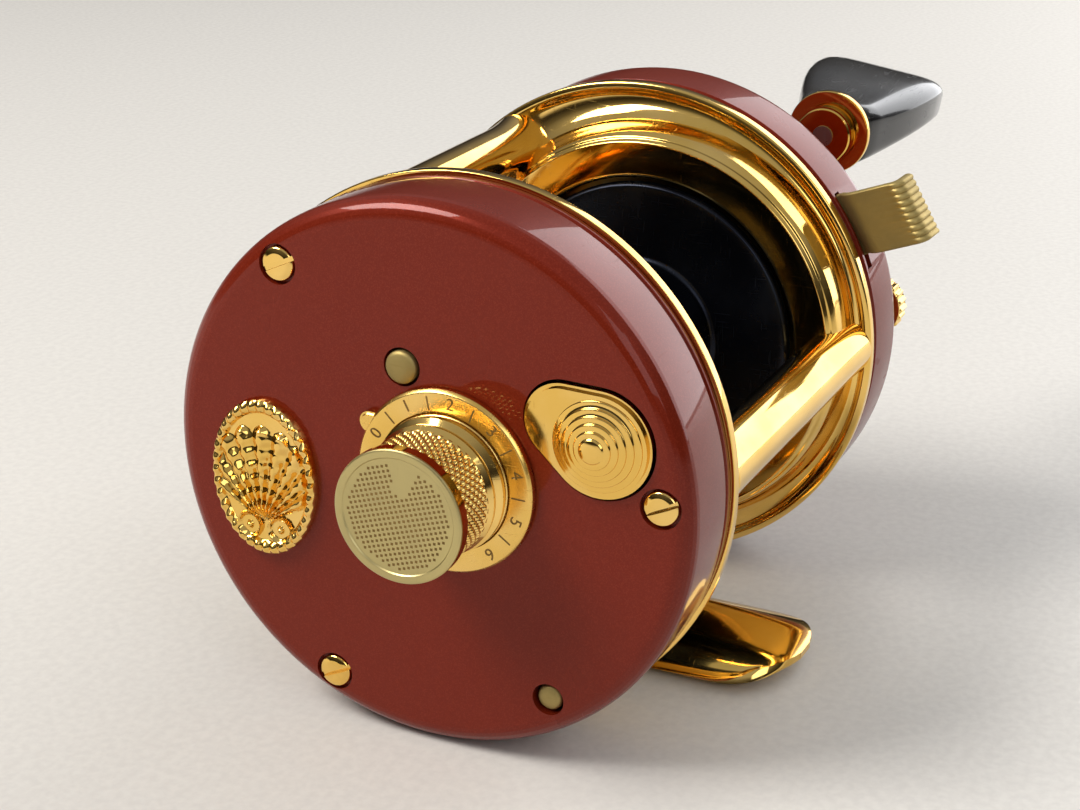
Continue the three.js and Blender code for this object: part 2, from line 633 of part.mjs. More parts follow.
function buildLevelWind() {
  const [x0, x1] = [-27, -25];
  const spoolPhase = heading(SPOOL_AXIS, IDLER_AXIS);
  const idlerPhase = meshedPhase(IDLER_TEETH, IDLER_AXIS, SPOOL_GEAR_TEETH, SPOOL_AXIS, spoolPhase);
  const wormPhase = meshedPhase(WORM_GEAR_TEETH, WORM_AXIS, IDLER_TEETH, IDLER_AXIS, idlerPhase);
  const bore = bar(1.6, -28, -24, SPOOL_AXIS, 16);
  const spoolGear = gear(SPOOL_GEAR_TEETH, WORM_MODULE, spoolPhase, x0 + 0.3, x1 + 0.3, SPOOL_AXIS);
  add('spool_gear', spoolGear.subtract(bore), brass);
  const idlerBore = bar(1.7, -28, -24, IDLER_AXIS, 16);
  const idler = gear(IDLER_TEETH, WORM_MODULE, idlerPhase, x0 + 0.3, x1, IDLER_AXIS);
  add('idler_gear', idler.subtract(idlerBore), nylon);
  const wormGear = gear(WORM_GEAR_TEETH, WORM_MODULE, wormPhase, x0, x1 + 0.3, WORM_AXIS);
  add('worm_gear', wormGear.subtract(bar(1.2, -28, -24, WORM_AXIS, 16)), brass);

  const worm = [
    [0, -27.5], [0.9, -27.5], [0.9, -23], [2.1, -22.8],
    [2.1, 22.8], [1.4, 23], [1.4, 23.9], [0, 23.9],
  ];
  add('worm_shaft', turned(worm, WORM_AXIS, 16), steel);
  const tube = turned([[2.6, -23], [TUBE_RADIUS, -23], [TUBE_RADIUS, 23], [2.6, 23]], WORM_AXIS, 16);
  const slot = block(-19, 19, WORM_AXIS[0] - 1.1, WORM_AXIS[0] + 1.1, WORM_AXIS[1] - 5, WORM_AXIS[1] - 2);
  add('worm_tube', tube.subtract(slot), gold);
  add('guide_rod', bar(GUIDE_ROD_RADIUS, -22.7, 22.7, GUIDE_ROD, 16), steel);
  add('line_guide', lineGuide(), gold);
  add('guide_pawl', guidePawl(), steel);
  const capTop = WORM_AXIS[1] - 6.7;
  const cap = post(2, 0, WORM_AXIS[0], capTop - 1.5, capTop, 20);
  add('pawl_cap', cap, brass);
}

// A carriage around the tube, an upright eye for the line, and a fork on the guide rod.
function lineGuide() {
  const [y, z] = WORM_AXIS;
  const carriage = turned([[TUBE_RADIUS + CLEARANCE, -5], [5.4, -5], [5.4, 5], [TUBE_RADIUS + CLEARANCE, 5]],
    WORM_AXIS, 16);
  const pieces = [carriage, post(2.8, 0, y, z - 6.6, z - 4.6, 12)];
  const tool = bar(TUBE_RADIUS + CLEARANCE, -6, 6, WORM_AXIS, 16);
  for (const side of [-1, 1]) {
    pieces.push(post(0.9, side * 3.6, y, z + 4.4, z + 15, 10));
  }
  const top = new THREE.CylinderGeometry(0.9, 0.9, 9, 10);
  top.rotateZ(Math.PI / 2);
  top.translate(0, y, z + 15);
  pieces.push(solid(top));
  const fork = block(-2, 2, GUIDE_ROD[0] - 2.4, GUIDE_ROD[0] + 2.4, GUIDE_ROD[1] - 2, z - 3.4);
  const rodSlot = bar(GUIDE_ROD_RADIUS + CLEARANCE, -6, 6, GUIDE_ROD, 10);
  const mouth = block(-6, 6, GUIDE_ROD[0] - 1.3, GUIDE_ROD[0] + 1.3, GUIDE_ROD[1] - 4, GUIDE_ROD[1]);
  const well = post(1.7, 0, y, z - 8, z - 3, 10);
  const capClear = post(2.3, 0, y, z - 12, z - 6.6, 12);
  return cutAll(joinAll([...pieces, fork]), [tool, rodSlot, mouth, well, capClear]);
}

function guidePawl() {
  const [y, z] = WORM_AXIS;
  const stem = post(1.3, 0, y, z - 6.6, z - 3.7, 16);
  const tooth = block(-0.8, 0.8, y - 0.6, y + 0.6, z - 3.8, z - 2.5);
  return stem.add(tooth);
}

// ---- right side ---------------------------------------------------------

const LEVER_ANGLE = -59.5;           // thumb lever direction, degrees forward of up
const LEVER_PIVOT = polar(19.5, LEVER_ANGLE);
const LEVER_PLANE = [25.4, 26.4];
const LEVER_WIDTH = 8;
const LEVER_END = 38.4;
const LEVER_LEAN = 26;               // degrees that the tab leans inboard beyond the cover
const LEVER_BEND = 29.8;             // where the lean starts, from the side plate centre

function buildRightSide() {
  const [inner, outer] = [COVER_FACE - 3, COVER_FACE + 2];
  const tools = [
    bar(6.1, inner, outer, SPOOL_AXIS, 32),
    bar(5.6, inner, outer, DRIVE_AXIS, 32),
    leverSlot(),
  ];
  for (const name of Object.keys(BOLT_ANGLES)) {
    tools.push(bar(BOLT_HOLE, inner, outer, boltAt(name)));
  }
  add('right_cover', cutAll(coverCup(1), tools), redLacquer);

  const holes = Object.keys(BOLT_ANGLES).map((name) => bar(BOLT_HOLE, 20, 26, boltAt(name)));
  holes.push(bar(ROD_RADIUS + CLEARANCE, 20, 26, ROD));
  holes.push(bar(1.7, 20, 26, WORM_AXIS));
  holes.push(bar(1.6, 20, 26, SPOOL_AXIS, 20));
  holes.push(bar(2, 20, 26, DRIVE_AXIS, 20));
  const posts = yokePosts().map((at) => bar(0.8, BRIDGE_OUTER - 0.2, 31.9, at, 12));
  const pawlStud = bar(1, BRIDGE_OUTER - 0.2, 25.7, PAWL_PIVOT, 12);
  const leverStud = bar(1.2, BRIDGE_OUTER - 0.2, 27, LEVER_PIVOT, 12);
  add('right_bridge', joinAll([bridgePlate(1, holes), ...posts, pawlStud, leverStud]), brass);

  const cap = [
    [4.9, 31.8], [5.8, 31.8], [5.8, 33.8], [6.6, 33.8], [6.6, 36.2], [6.2, 36.6],
    [0, 36.6], [0, 35.4], [4.9, 35.4],
  ];
  add('right_spool_cap', turned(cap, SPOOL_AXIS, 24), gold);
  const bearing = [[1.7, 32.8], [4.6, 32.8], [4.6, 35.1], [1.7, 35.1]];
  add('right_bearing', turned(bearing, SPOOL_AXIS, 16), steel);

  for (const name of Object.keys(BOLT_ANGLES)) {
    add(`${name}_thumbscrew`, thumbscrew(boltAt(name)), gold);
  }
}

function thumbscrew(at) {
  const shank = bar(BOLT_RADIUS, 19, 34, at);
  return shank.add(ribbedRing(3.6, 0.35, 18, 33.7, 36.2, at));
}

// ---- drive --------------------------------------------------------------

const PAWL_PIVOT = polar(12.2, -125, DRIVE_AXIS);
const RATCHET_TEETH = 14;
const RATCHET_MODULE = 1.1;

// Two guide posts on the far side of the spool axis from the handle.
function yokePosts() {
  const away = heading(DRIVE_AXIS, SPOOL_AXIS);
  return [-1, 1].map((side) => [
    SPOOL_AXIS[0] + 3.5 * Math.cos(away) - side * 7.5 * Math.sin(away),
    SPOOL_AXIS[1] + 3.5 * Math.sin(away) + side * 7.5 * Math.cos(away),
  ]);
}

function buildDrive() {
  const pinionPhase = heading(SPOOL_AXIS, DRIVE_AXIS);
  const drivePhase = meshedPhase(DRIVE_TEETH, DRIVE_AXIS, PINION_TEETH, SPOOL_AXIS, pinionPhase);
  const teeth = gear(PINION_TEETH, GEAR_MODULE, pinionPhase, 25.2, 28.5, SPOOL_AXIS);
  const neck = bar(2, 28.4, 30.3, SPOOL_AXIS, 20);
  const head = bar(3.2, 30.2, 30.9, SPOOL_AXIS, 24);
  const pinionBore = bar(1.6, 24, 32, SPOOL_AXIS, 16);
  add('pinion', joinAll([teeth, neck, head]).subtract(pinionBore), brass);
  add('yoke', yoke(), steel);

  const wheel = gear(DRIVE_TEETH, GEAR_MODULE, drivePhase, 25.9, 28, DRIVE_AXIS);
  const recess = bar(9.8, 26.9, 29, DRIVE_AXIS, 24);
  const driveBore = bar(2.4, 24, 30, DRIVE_AXIS, 16);
  add('drive_gear', cutAll(wheel, [recess, driveBore]), brass);
  add('drag_washer', turned([[2.7, 27], [9.4, 27], [9.4, 27.8], [2.7, 27.8]], DRIVE_AXIS, 20), leather);
  const ratchet = gear(RATCHET_TEETH, RATCHET_MODULE, 0, 24.6, 25.7, DRIVE_AXIS, 0.22).subtract(driveBore);
  add('ratchet', ratchet, steel);
  add('pawl', pawl(), steel);
  const shaft = [
    [0, 23.3], [1.7, 23.3], [1.7, 24.5], [2.1, 24.6], [2.1, 40.8], [1.6, 40.9], [1.6, 44.9], [0, 44.9],
  ];
  add('drive_shaft', turned(shaft, DRIVE_AXIS, 20), steel);
}

// The plate that carries the pinion sideways, with an arm that the release rod pushes.
function yoke() {
  const [front, rear] = yokePosts();
  const level = [28.7, 29.7];
  const bow = [plate(strap(front, 1.7, rear, 1.7), ...level)];
  for (const at of [front, rear]) {
    bow.push(plate(strap(at, 1.7, SPOOL_AXIS, 3.6), ...level));
  }
  bow.push(plate(strap(rear[0] < front[0] ? rear : front, 1.7, ROD, 1.2), ...level));
  const tools = [bar(2 + CLEARANCE, 28, 30.5, SPOOL_AXIS, 20)];
  for (const at of [front, rear]) {
    tools.push(bar(0.8 + CLEARANCE, 28, 30.5, at, 12));
  }
  return cutAll(joinAll(bow), tools);
}

// A small catch that lies against the ratchet teeth.
function pawl() {
  const ratchetTip = (RATCHET_TEETH / 2 + 0.85) * RATCHET_MODULE;
  const nose = polar(ratchetTip + 1, -102, DRIVE_AXIS);
  const shape = strap(PAWL_PIVOT, 2, nose, 0.7);
  return plate(shape, 24.6, 25.6).subtract(bar(1 + CLEARANCE, 24, 27, PAWL_PIVOT, 12));
}

// ---- handle -------------------------------------------------------------

function buildHandle() {
  add('star_drag', starDrag(), gold);
  const level = [41, 42.8];
  const arm = plate(strap(DRIVE_AXIS, 5, KNOB_AXIS, 3.6), ...level)
    .add(plate(strap(DRIVE_AXIS, 5, COUNTERWEIGHT_AXIS, 3.6), ...level));
  const tools = [bar(1.9, 40, 44, DRIVE_AXIS, 20), bar(1.6, 40, 44, KNOB_AXIS, 16)];
  tools.push(bar(1.6, 40, 44, COUNTERWEIGHT_AXIS, 16));
  add('handle_arm', cutAll(arm, tools), gold);
  const weight = [[0, 40.6], [1.3, 40.6], [1.3, 42.9], [3.8, 42.9], [3.8, 46.6], [3.2, 47.2], [0, 47.2]];
  add('counterweight', turned(weight, COUNTERWEIGHT_AXIS, 24), gold);

  const nut = plate(hexagon(DRIVE_AXIS, 4.2), 42.9, 45.2).add(bar(4.6, 42.9, 43.5, DRIVE_AXIS, 28));
  add('handle_nut', cutAll(nut, [bar(1.9, 42, 46, DRIVE_AXIS, 20)]), gold);

  add('knob_spindle', turned([[0, 40.8], [1.3, 40.8], [1.3, 53.5], [0, 53.5]], KNOB_AXIS, 16), steel);
  const collar = [[1.6, 43], [5.2, 43], [5.2, 44], [4.6, 44.4], [1.6, 44.4]];
  add('knob_collar', turned(collar, KNOB_AXIS, 24), gold);
  add('handle_knob', paddle(), blackPlastic);
}

function hexagon(at, radius) {
  const points = [];
  for (let i = 0; i < 6; i++) {
    const [y, z] = polar(radius, 60 * i + KNOB_ANGLE, at);
    points.push(new THREE.Vector2(y, z));
  }
  return new THREE.Shape(points);
}

// Five-armed wheel; its hub reaches through the cover and ends in the drag's pressure plate.
function starDrag() {
  const points = [];
  const arms = 5;
  const stepsPerArm = 8;
  for (let i = 0; i < arms * stepsPerArm; i++) {
    const angle = 2 * Math.PI * i / (arms * stepsPerArm);
    const swell = (1 + Math.cos(arms * angle)) / 2;
    const reach = 6.6 + 8.9 * swell ** 2;
    points.push(new THREE.Vector2(...polar(reach, angle * 180 / Math.PI + 20, DRIVE_AXIS)));
  }
  const wheel = plate(new THREE.Shape(points), 37.6, 39.4);
  const hub = bar(5, 28.6, 40.4, DRIVE_AXIS, 20);
  const foot = bar(8.6, 27.9, 28.7, DRIVE_AXIS, 20);
  return joinAll([wheel, hub, foot]).subtract(bar(2.4, 27, 42, DRIVE_AXIS, 16));
}

// Flat paddle grip. Sections are [x, half width, half depth, lift]; they widen, thin and rise along its axis.
function paddle() {
  const stations = [
    [44.6, 4.7, 3.3, 0], [45.4, 5, 3.6, 0], [50, 6.6, 3.3, 0.5],
    [56, 8.2, 3.1, 1.3], [62, 8.7, 2.9, 1.6], [64.5, 8, 2.2, 1.5],
  ];
  const squareness = 0.4;            // 1 is an ellipse, towards 0 a rectangle
  const sides = 20;
  const positions = [];
  const index = [];
  for (const [x, halfWidth, halfDepth, lift] of stations) {
    for (let i = 0; i < sides; i++) {
      const angle = 2 * Math.PI * i / sides;
      const [cos, sin] = [Math.cos(angle), Math.sin(angle)];
      const y = Math.sign(cos) * halfWidth * Math.abs(cos) ** squareness;
      const z = lift + Math.sign(sin) * halfDepth * Math.abs(sin) ** squareness;
      positions.push(x, y, z);
    }
  }
  for (let level = 0; level + 1 < stations.length; level++) {
    for (let i = 0; i < sides; i++) {
      const [a, b] = [level * sides + i, level * sides + (i + 1) % sides];
      index.push(a, b, b + sides, a, b + sides, a + sides);
    }
  }
  for (const [level, flip] of [[0, false], [stations.length - 1, true]]) {
    const centre = positions.length / 3;
    positions.push(stations[level][0], 0, stations[level][3]);
    for (let i = 0; i < sides; i++) {
      const [a, b] = [level * sides + i, level * sides + (i + 1) % sides];
      if (flip) index.push(centre, a, b);
      else index.push(centre, b, a);
    }
  }
  const geometry = new THREE.BufferGeometry();
  geometry.setAttribute('position', new THREE.BufferAttribute(new Float32Array(positions), 3));
  geometry.setIndex(index);
  geometry.rotateX(THREE.MathUtils.degToRad(PADDLE_TILT));
  geometry.translate(0, KNOB_AXIS[0], KNOB_AXIS[1]);
  return solid(geometry).subtract(bar(1.6, 44, 53.9, KNOB_AXIS, 16));
}

// ---- thumb lever --------------------------------------------------------

// The lever's flat arm, its wide tab outside the cover, and the ribbed end turned outward.
function buildThumbLever() {
  const along = leverDirection();
  const arm = plate(strap(LEVER_PIVOT, 2.6, polar(29, LEVER_ANGLE), 3), ...LEVER_PLANE);
  const root = leverBox(27, LEVER_BEND + 0.1, LEVER_WIDTH, ...LEVER_PLANE);
  const tab = leverBox(LEVER_BEND - 0.1, LEVER_END, LEVER_WIDTH, ...LEVER_PLANE);
  const end = leverBox(LEVER_END - 0.9, LEVER_END, LEVER_WIDTH, LEVER_PLANE[0], LEVER_PLANE[1] + 3);
  const leaning = [tab, end];
  const ribs = 7;
  for (let rib = 0; rib < ribs; rib++) {
    const across = (rib - (ribs - 1) / 2) * LEVER_WIDTH / ribs;
    const y = LEVER_END * along[0] - across * along[1];
    const z = LEVER_END * along[1] + across * along[0];
    leaning.push(bar(0.35, LEVER_PLANE[0] + 0.1, LEVER_PLANE[1] + 2.9, [y, z], 8));
  }
  const pieces = [arm, root, lean(joinAll(leaning))];
  const pivotHole = bar(1.2 + CLEARANCE, 24, 28, LEVER_PIVOT, 16);
  add('thumb_lever', joinAll(pieces).subtract(pivotHole), dullBrass);
}

// Leans a shape inboard about the lever's bend line, where it leaves the cover.
function lean(shape) {
  const degrees = THREE.MathUtils.radToDeg(Math.atan2(leverDirection()[1], leverDirection()[0]));
  return shape
    .rotate([-degrees, 0, 0])
    .translate([-LEVER_PLANE[0], -LEVER_BEND, 0])
    .rotate([0, 0, LEVER_LEAN])
    .translate([LEVER_PLANE[0], LEVER_BEND, 0])
    .rotate([degrees, 0, 0]);
}

function leverDirection() {
  return polar(1, LEVER_ANGLE);
}

function leverBox(near, far, width, x0, x1) {
  const geometry = new THREE.BoxGeometry(x1 - x0, far - near, width);
  const angle = Math.atan2(leverDirection()[1], leverDirection()[0]);
  geometry.translate((x0 + x1) / 2, (near + far) / 2, 0);
  geometry.rotateX(angle);
  return solid(geometry);
}

// Window in the cover wall, wide enough for the lever's swing.
function leverSlot() {
  return leverBox(25, 32, LEVER_WIDTH + 3.4, LEVER_PLANE[0] - CLEARANCE, LEVER_PLANE[1] + CLEARANCE);
}

// ---- assembly -----------------------------------------------------------

buildFrame();
buildFoot();
buildLeftSide();
buildCastControl();
buildRelease();
buildSpool();
buildLevelWind();
buildRightSide();
buildDrive();
buildHandle();
buildThumbLever();

export default reel;
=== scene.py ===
import json
import math

import bmesh
import bpy
from mathutils import Matrix, Vector


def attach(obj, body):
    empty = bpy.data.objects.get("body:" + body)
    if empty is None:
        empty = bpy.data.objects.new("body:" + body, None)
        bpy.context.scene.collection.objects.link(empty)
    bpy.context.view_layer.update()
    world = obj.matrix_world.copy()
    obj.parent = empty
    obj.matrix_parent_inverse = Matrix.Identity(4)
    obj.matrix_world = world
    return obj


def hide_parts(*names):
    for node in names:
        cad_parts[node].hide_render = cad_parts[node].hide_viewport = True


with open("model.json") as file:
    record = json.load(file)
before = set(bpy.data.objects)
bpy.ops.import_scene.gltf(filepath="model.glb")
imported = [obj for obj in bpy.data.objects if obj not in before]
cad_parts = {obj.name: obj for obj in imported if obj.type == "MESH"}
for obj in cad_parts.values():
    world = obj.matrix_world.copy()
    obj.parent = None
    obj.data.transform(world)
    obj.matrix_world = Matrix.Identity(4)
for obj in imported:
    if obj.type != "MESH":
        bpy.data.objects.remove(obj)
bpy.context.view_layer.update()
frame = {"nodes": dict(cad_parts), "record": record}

# ---- measures, in millimetres about the side plate centre, +X to the handle, +Y to the rod tip ----

MM = 0.001
AXIS_HEIGHT = 28.1            # side plate centre above the foot's underside
FLOOR_Z = -1.9                # what the reel stands on, from the foot's underside
RIM_RADIUS = 30
FRAME_HALF = 22.9
COVER_RADIUS = 29.7
COVER_FACE = 33.6
SPOOL_AXIS = (-3.2, 1.1)
BOLT_CIRCLE = 26.45
BOLT_ANGLES = {"top_front": 37.6, "bottom_front": 155.9, "rear": -84.8}
PILLAR_RADIUS = {"top_front": 2.9, "bottom_front": 2.4, "rear": 3.3}
REAR_PILLAR = (-26.6, 1.2)
WORM_AXIS = (22.5, -1)
GUIDE_ROD = (19.4, -10.5)
BUTTON = (-19.9, 8)
BUTTON_LOBE = (-16, 9.6)
INDEX_PIN = (1.9, 12.3)
LOWER_PIN = (-14.6, -21.3)
BADGE = (18.4, -2.7)
LEVER_ANGLE = -59.5
LEVER_WIDTH = 7.8
DRIVE_REACH = 15.98
DRIVE_ANGLE = 129
KNOB_REACH = 39.4
KNOB_ANGLE = -40.4
COUNTERWEIGHT_REACH = 19
PADDLE_TILT = 8


def polar(radius, degrees, centre=(0, 0)):
    """The point (y, z) at a radius and an angle in degrees forward of straight up."""
    angle = math.radians(degrees)
    return (centre[0] + radius * math.sin(angle), centre[1] + radius * math.cos(angle))


DRIVE_AXIS = polar(DRIVE_REACH, DRIVE_ANGLE, SPOOL_AXIS)
KNOB_AXIS = polar(KNOB_REACH, KNOB_ANGLE, DRIVE_AXIS)
COUNTERWEIGHT_AXIS = polar(COUNTERWEIGHT_REACH, KNOB_ANGLE + 180, DRIVE_AXIS)


def bolt_at(name):
    return polar(BOLT_CIRCLE, BOLT_ANGLES[name])


# ---- materials ----


class Nodes:
    """A small helper around one material's node tree."""

    def __init__(self, name):
        self.material = bpy.data.materials.new(name)
        self.material.use_nodes = True
        self.tree = self.material.node_tree
        self.shader = self.tree.nodes["Principled BSDF"]
        self.coordinates = self.tree.nodes.new("ShaderNodeTexCoord").outputs["Object"]

    def link(self, output, socket):
        self.tree.links.new(output, socket)

    def mapping(self, scale, turn=(0, 0, 0)):
        node = self.tree.nodes.new("ShaderNodeMapping")
        node.inputs["Scale"].default_value = scale
        node.inputs["Rotation"].default_value = turn
        self.link(self.coordinates, node.inputs["Vector"])
        return node.outputs["Vector"]

    def noise(self, scale, detail=3, stretch=(1, 1, 1), turn=(0, 0, 0)):
        node = self.tree.nodes.new("ShaderNodeTexNoise")
        node.inputs["Scale"].default_value = scale
        node.inputs["Detail"].default_value = detail
        self.link(self.mapping(stretch, turn), node.inputs["Vector"])
        return node.outputs["Fac"]

    def cells(self, scale):
        node = self.tree.nodes.new("ShaderNodeTexVoronoi")
        node.inputs["Scale"].default_value = scale
        self.link(self.coordinates, node.inputs["Vector"])
        return node.outputs["Color"]

    def ramp(self, value, low, high, start=0.0, end=1.0):
        """Value between low and high, remapped to start and end."""
        node = self.tree.nodes.new("ShaderNodeMapRange")
        node.inputs["From Min"].default_value = low
        node.inputs["From Max"].default_value = high
        node.inputs["To Min"].default_value = start
        node.inputs["To Max"].default_value = end
        self.link(value, node.inputs["Value"])
        return node.outputs["Result"]

    def math(self, kind, first, second):
        node = self.tree.nodes.new("ShaderNodeMath")
        node.operation = kind
        for socket, value in zip(node.inputs, (first, second)):
            if isinstance(value, (int, float)):
                socket.default_value = value
            else:
                self.link(value, socket)
        return node.outputs["Value"]

    def mix(self, factor, first, second):
        node = self.tree.nodes.new("ShaderNodeMix")
        node.data_type = "RGBA"
        self.link(factor, node.inputs["Factor"])
        node.inputs["A"].default_value = (*first, 1)
        if isinstance(second, tuple):
            node.inputs["B"].default_value = (*second, 1)
        else:
            self.link(second, node.inputs["B"])
        return node.outputs["Result"]

    def bump(self, height, strength, distance):
        node = self.tree.nodes.new("ShaderNodeBump")
        node.inputs["Strength"].default_value = strength
        node.inputs["Distance"].default_value = distance * MM
        self.link(height, node.inputs["Height"])
        self.link(node.outputs["Normal"], self.shader.inputs["Normal"])

    def set(self, **values):
        for name, value in values.items():
            self.shader.inputs[name.replace("_", " ")].default_value = value


def worn_surface(name, colour, worn, metallic, roughness, spread,
                 patch=120, grain=1800, bump=0.25, **sockets):
    """Two tones in soft patches, fine scratches two ways, and a fine grain in roughness and bump."""
    n = Nodes(name)
    n.set(Metallic=metallic, **sockets)
    patches = n.noise(patch, detail=5)
    n.link(n.mix(n.ramp(patches, 0.38, 0.66), colour, worn), n.shader.inputs["Base Color"])
    lines = n.ramp(n.noise(260, 2, stretch=(1, 14, 1.4), turn=(0.3, 0.2, 0.7)), 0.66, 0.7)
    crossing = n.ramp(n.noise(240, 2, stretch=(1.2, 1, 16), turn=(0.9, 0.1, 0.2)), 0.67, 0.71)
    scratches = n.math("MAXIMUM", lines, crossing)
    grains = n.noise(grain, detail=2)
    base = n.ramp(patches, 0.3, 0.7, roughness - spread, roughness + spread)
    rough = n.math("ADD", base, n.math("MULTIPLY", scratches, 0.1))
    n.link(n.math("ADD", rough, n.math("MULTIPLY", grains, spread)), n.shader.inputs["Roughness"])
    height = n.math("SUBTRACT", n.math("MULTIPLY", grains, 0.25), scratches)
    n.bump(height, bump, 0.01)
    return n


def turned_surface(n, strength):
    """Brushed round the turning axis: the highlight fans out from the centre."""
    tangent = n.tree.nodes.new("ShaderNodeTangent")
    tangent.direction_type = "RADIAL"
    tangent.axis = "X"
    n.link(tangent.outputs["Tangent"], n.shader.inputs["Tangent"])
    n.set(Anisotropic=strength)


def red_enamel():
    """Dark red metallic enamel under a clear coat with a slight ripple."""
    n = Nodes("red_enamel")
    flakes = n.cells(9000)
    split = n.tree.nodes.new("ShaderNodeSeparateColor")
    n.link(flakes, split.inputs["Color"])
    sparkle = n.ramp(split.outputs["Red"], 0.55, 1.0)
    tone = n.mix(sparkle, (0.165, 0.014, 0.004), (0.21, 0.022, 0.008))
    n.link(tone, n.shader.inputs["Base Color"])
    patches = n.noise(90, detail=4)
    scratches = n.ramp(n.noise(230, 2, stretch=(1, 13, 1.3), turn=(0.5, 0.3, 0.4)), 0.68, 0.72)
    rough = n.math("ADD", n.ramp(patches, 0.3, 0.7, 0.26, 0.38), n.math("MULTIPLY", scratches, 0.15))
    n.link(rough, n.shader.inputs["Roughness"])
    n.bump(n.noise(420, detail=2), 0.06, 0.02)
    n.set(Metallic=0.2, Specular_IOR_Level=0.06, Coat_Weight=0.65, Coat_IOR=1.33, Coat_Roughness=0.03)
    return n.material


GOLD = (0.83, 0.52, 0.12)
GOLD_PALE = (0.9, 0.6, 0.19)

gold_material = worn_surface("polished_gold", GOLD, GOLD_PALE, 1, 0.07, 0.025, bump=0.12)
turned_gold = worn_surface("turned_gold", GOLD, GOLD_PALE, 1, 0.2, 0.04)
turned_surface(turned_gold, 0.45)
black_spool = worn_surface("black_anodised", (0.006, 0.007, 0.012), (0.012, 0.014, 0.02), 0.9, 0.24, 0.04)
turned_surface(black_spool, 0.75)

LOOKS = {
    "gold": gold_material.material,
    "turned_gold": turned_gold.material,
    "brass": worn_surface("machined_brass", (0.62, 0.44, 0.17), (0.46, 0.32, 0.13), 1, 0.3, 0.06).material,
    "dull_brass": worn_surface("dull_brass", (0.44, 0.33, 0.12), (0.3, 0.23, 0.09), 0.9, 0.52, 0.08).material,
    "red_lacquer": red_enamel(),
    "black_anodised": black_spool.material,
    "black_plastic": worn_surface(
        "black_plastic", (0.006, 0.006, 0.007), (0.016, 0.015, 0.014), 0, 0.2, 0.05, bump=0.08,
        Coat_Weight=0.6, Coat_Roughness=0.06).material,
    "steel": worn_surface("spring_steel", (0.5, 0.51, 0.53), (0.36, 0.36, 0.37), 1, 0.28, 0.05).material,
    "nylon": worn_surface("nylon", (0.7, 0.66, 0.55), (0.6, 0.56, 0.46), 0, 0.5, 0.06).material,
    "leather": worn_surface(
        "leather", (0.11, 0.06, 0.035), (0.2, 0.12, 0.07), 0, 0.78, 0.08, grain=2600, bump=0.6).material,
    "ink": worn_surface("engraving", (0.16, 0.09, 0.02), (0.28, 0.17, 0.05), 0.6, 0.45, 0.08).material,
    "pale_brass": worn_surface(
        "satin_pale_brass", (0.56, 0.46, 0.2), (0.5, 0.41, 0.19), 1, 0.34, 0.06).material,
}


# ---- mesh helpers ----


def place(point):
    """A point in millimetres about the side plate centre, in the row frame."""
    return Vector((point[0] * MM, point[1] * MM, (point[2] + AXIS_HEIGHT) * MM))


def skin(rows, wrap_rows=False, wrap_columns=True, caps=False):
    """A mesh over a grid of points: each row is one section."""
    bm = bmesh.new()
    grid = [[bm.verts.new(place(point)) for point in row] for row in rows]
    last_row = len(rows) if wrap_rows else len(rows) - 1
    width = len(rows[0])
    last_column = width if wrap_columns else width - 1
    for i in range(last_row):
        near, far = grid[i], grid[(i + 1) % len(rows)]
        for j in range(last_column):
            k = (j + 1) % width
            bm.faces.new((near[j], near[k], far[k], far[j]))
    if caps:
        bm.faces.new(grid[0])
        bm.faces.new(grid[-1])
    tidy(bm)
    return bm


def tidy(bm):
    bmesh.ops.remove_doubles(bm, verts=bm.verts, dist=0.002 * MM)
    bmesh.ops.recalc_face_normals(bm, faces=bm.faces)


def joined(*parts):
    """Several closed shells as one mesh."""
    whole = parts[0]
    for part in parts[1:]:
        spare = bpy.data.meshes.new("spare")
        part.to_mesh(spare)
        part.free()
        whole.from_mesh(spare)
        bpy.data.meshes.remove(spare)
    return whole


def rounded(points, corner=0.15, closed=False, steps=3):
    """The polyline with each corner replaced by a short curve. A point may end with its own corner size."""
    size = 3 if len(points[0]) == 4 else 2
    out = []
    for i, point in enumerate(points):
        here = Vector(point[:size])
        if not closed and i in (0, len(points) - 1):
            out.append(tuple(here))
            continue
        reach = point[3] if size == 3 else corner
        before = Vector(points[i - 1][:size]) - here
        after = Vector(points[(i + 1) % len(points)][:size]) - here
        start = here + before.normalized() * min(reach, before.length * 0.48)
        end = here + after.normalized() * min(reach, after.length * 0.48)
        for step in range(steps + 1):
            t = step / steps
            out.append(tuple(start * (1 - t) ** 2 + here * 2 * t * (1 - t) + end * t ** 2))
    return out


def lathe(profile, at, corner=0.15, steps=96, wave=None):
    """Turned about a line along X at (y, z), from profile points of (radius, x).

    What wave(angle, x, radius) returns is added to the radius.
    """
    closed = profile[0][0] > 0
    points = rounded(profile, corner, closed)
    rows = []
    for step in range(steps):
        angle = 2 * math.pi * step / steps
        row = []
        for radius, x in points:
            reach = radius + (wave(angle, x, radius) if wave else 0)
            row.append((x, at[0] + reach * math.cos(angle), at[1] + reach * math.sin(angle)))
        rows.append(row)
    return skin(rows, wrap_rows=True, wrap_columns=closed)


def lathe_upright(profile, x, y, corner=0.12, steps=48):
    """Turned about an upright line at (x, y). Profile points are (radius, z)."""
    points = rounded(profile, corner, profile[0][0] > 0)
    rows = []
    for step in range(steps):
        angle = 2 * math.pi * step / steps
        rows.append([(x + r * math.cos(angle), y + r * math.sin(angle), z) for r, z in points])
    return skin(rows, wrap_rows=True, wrap_columns=profile[0][0] > 0)


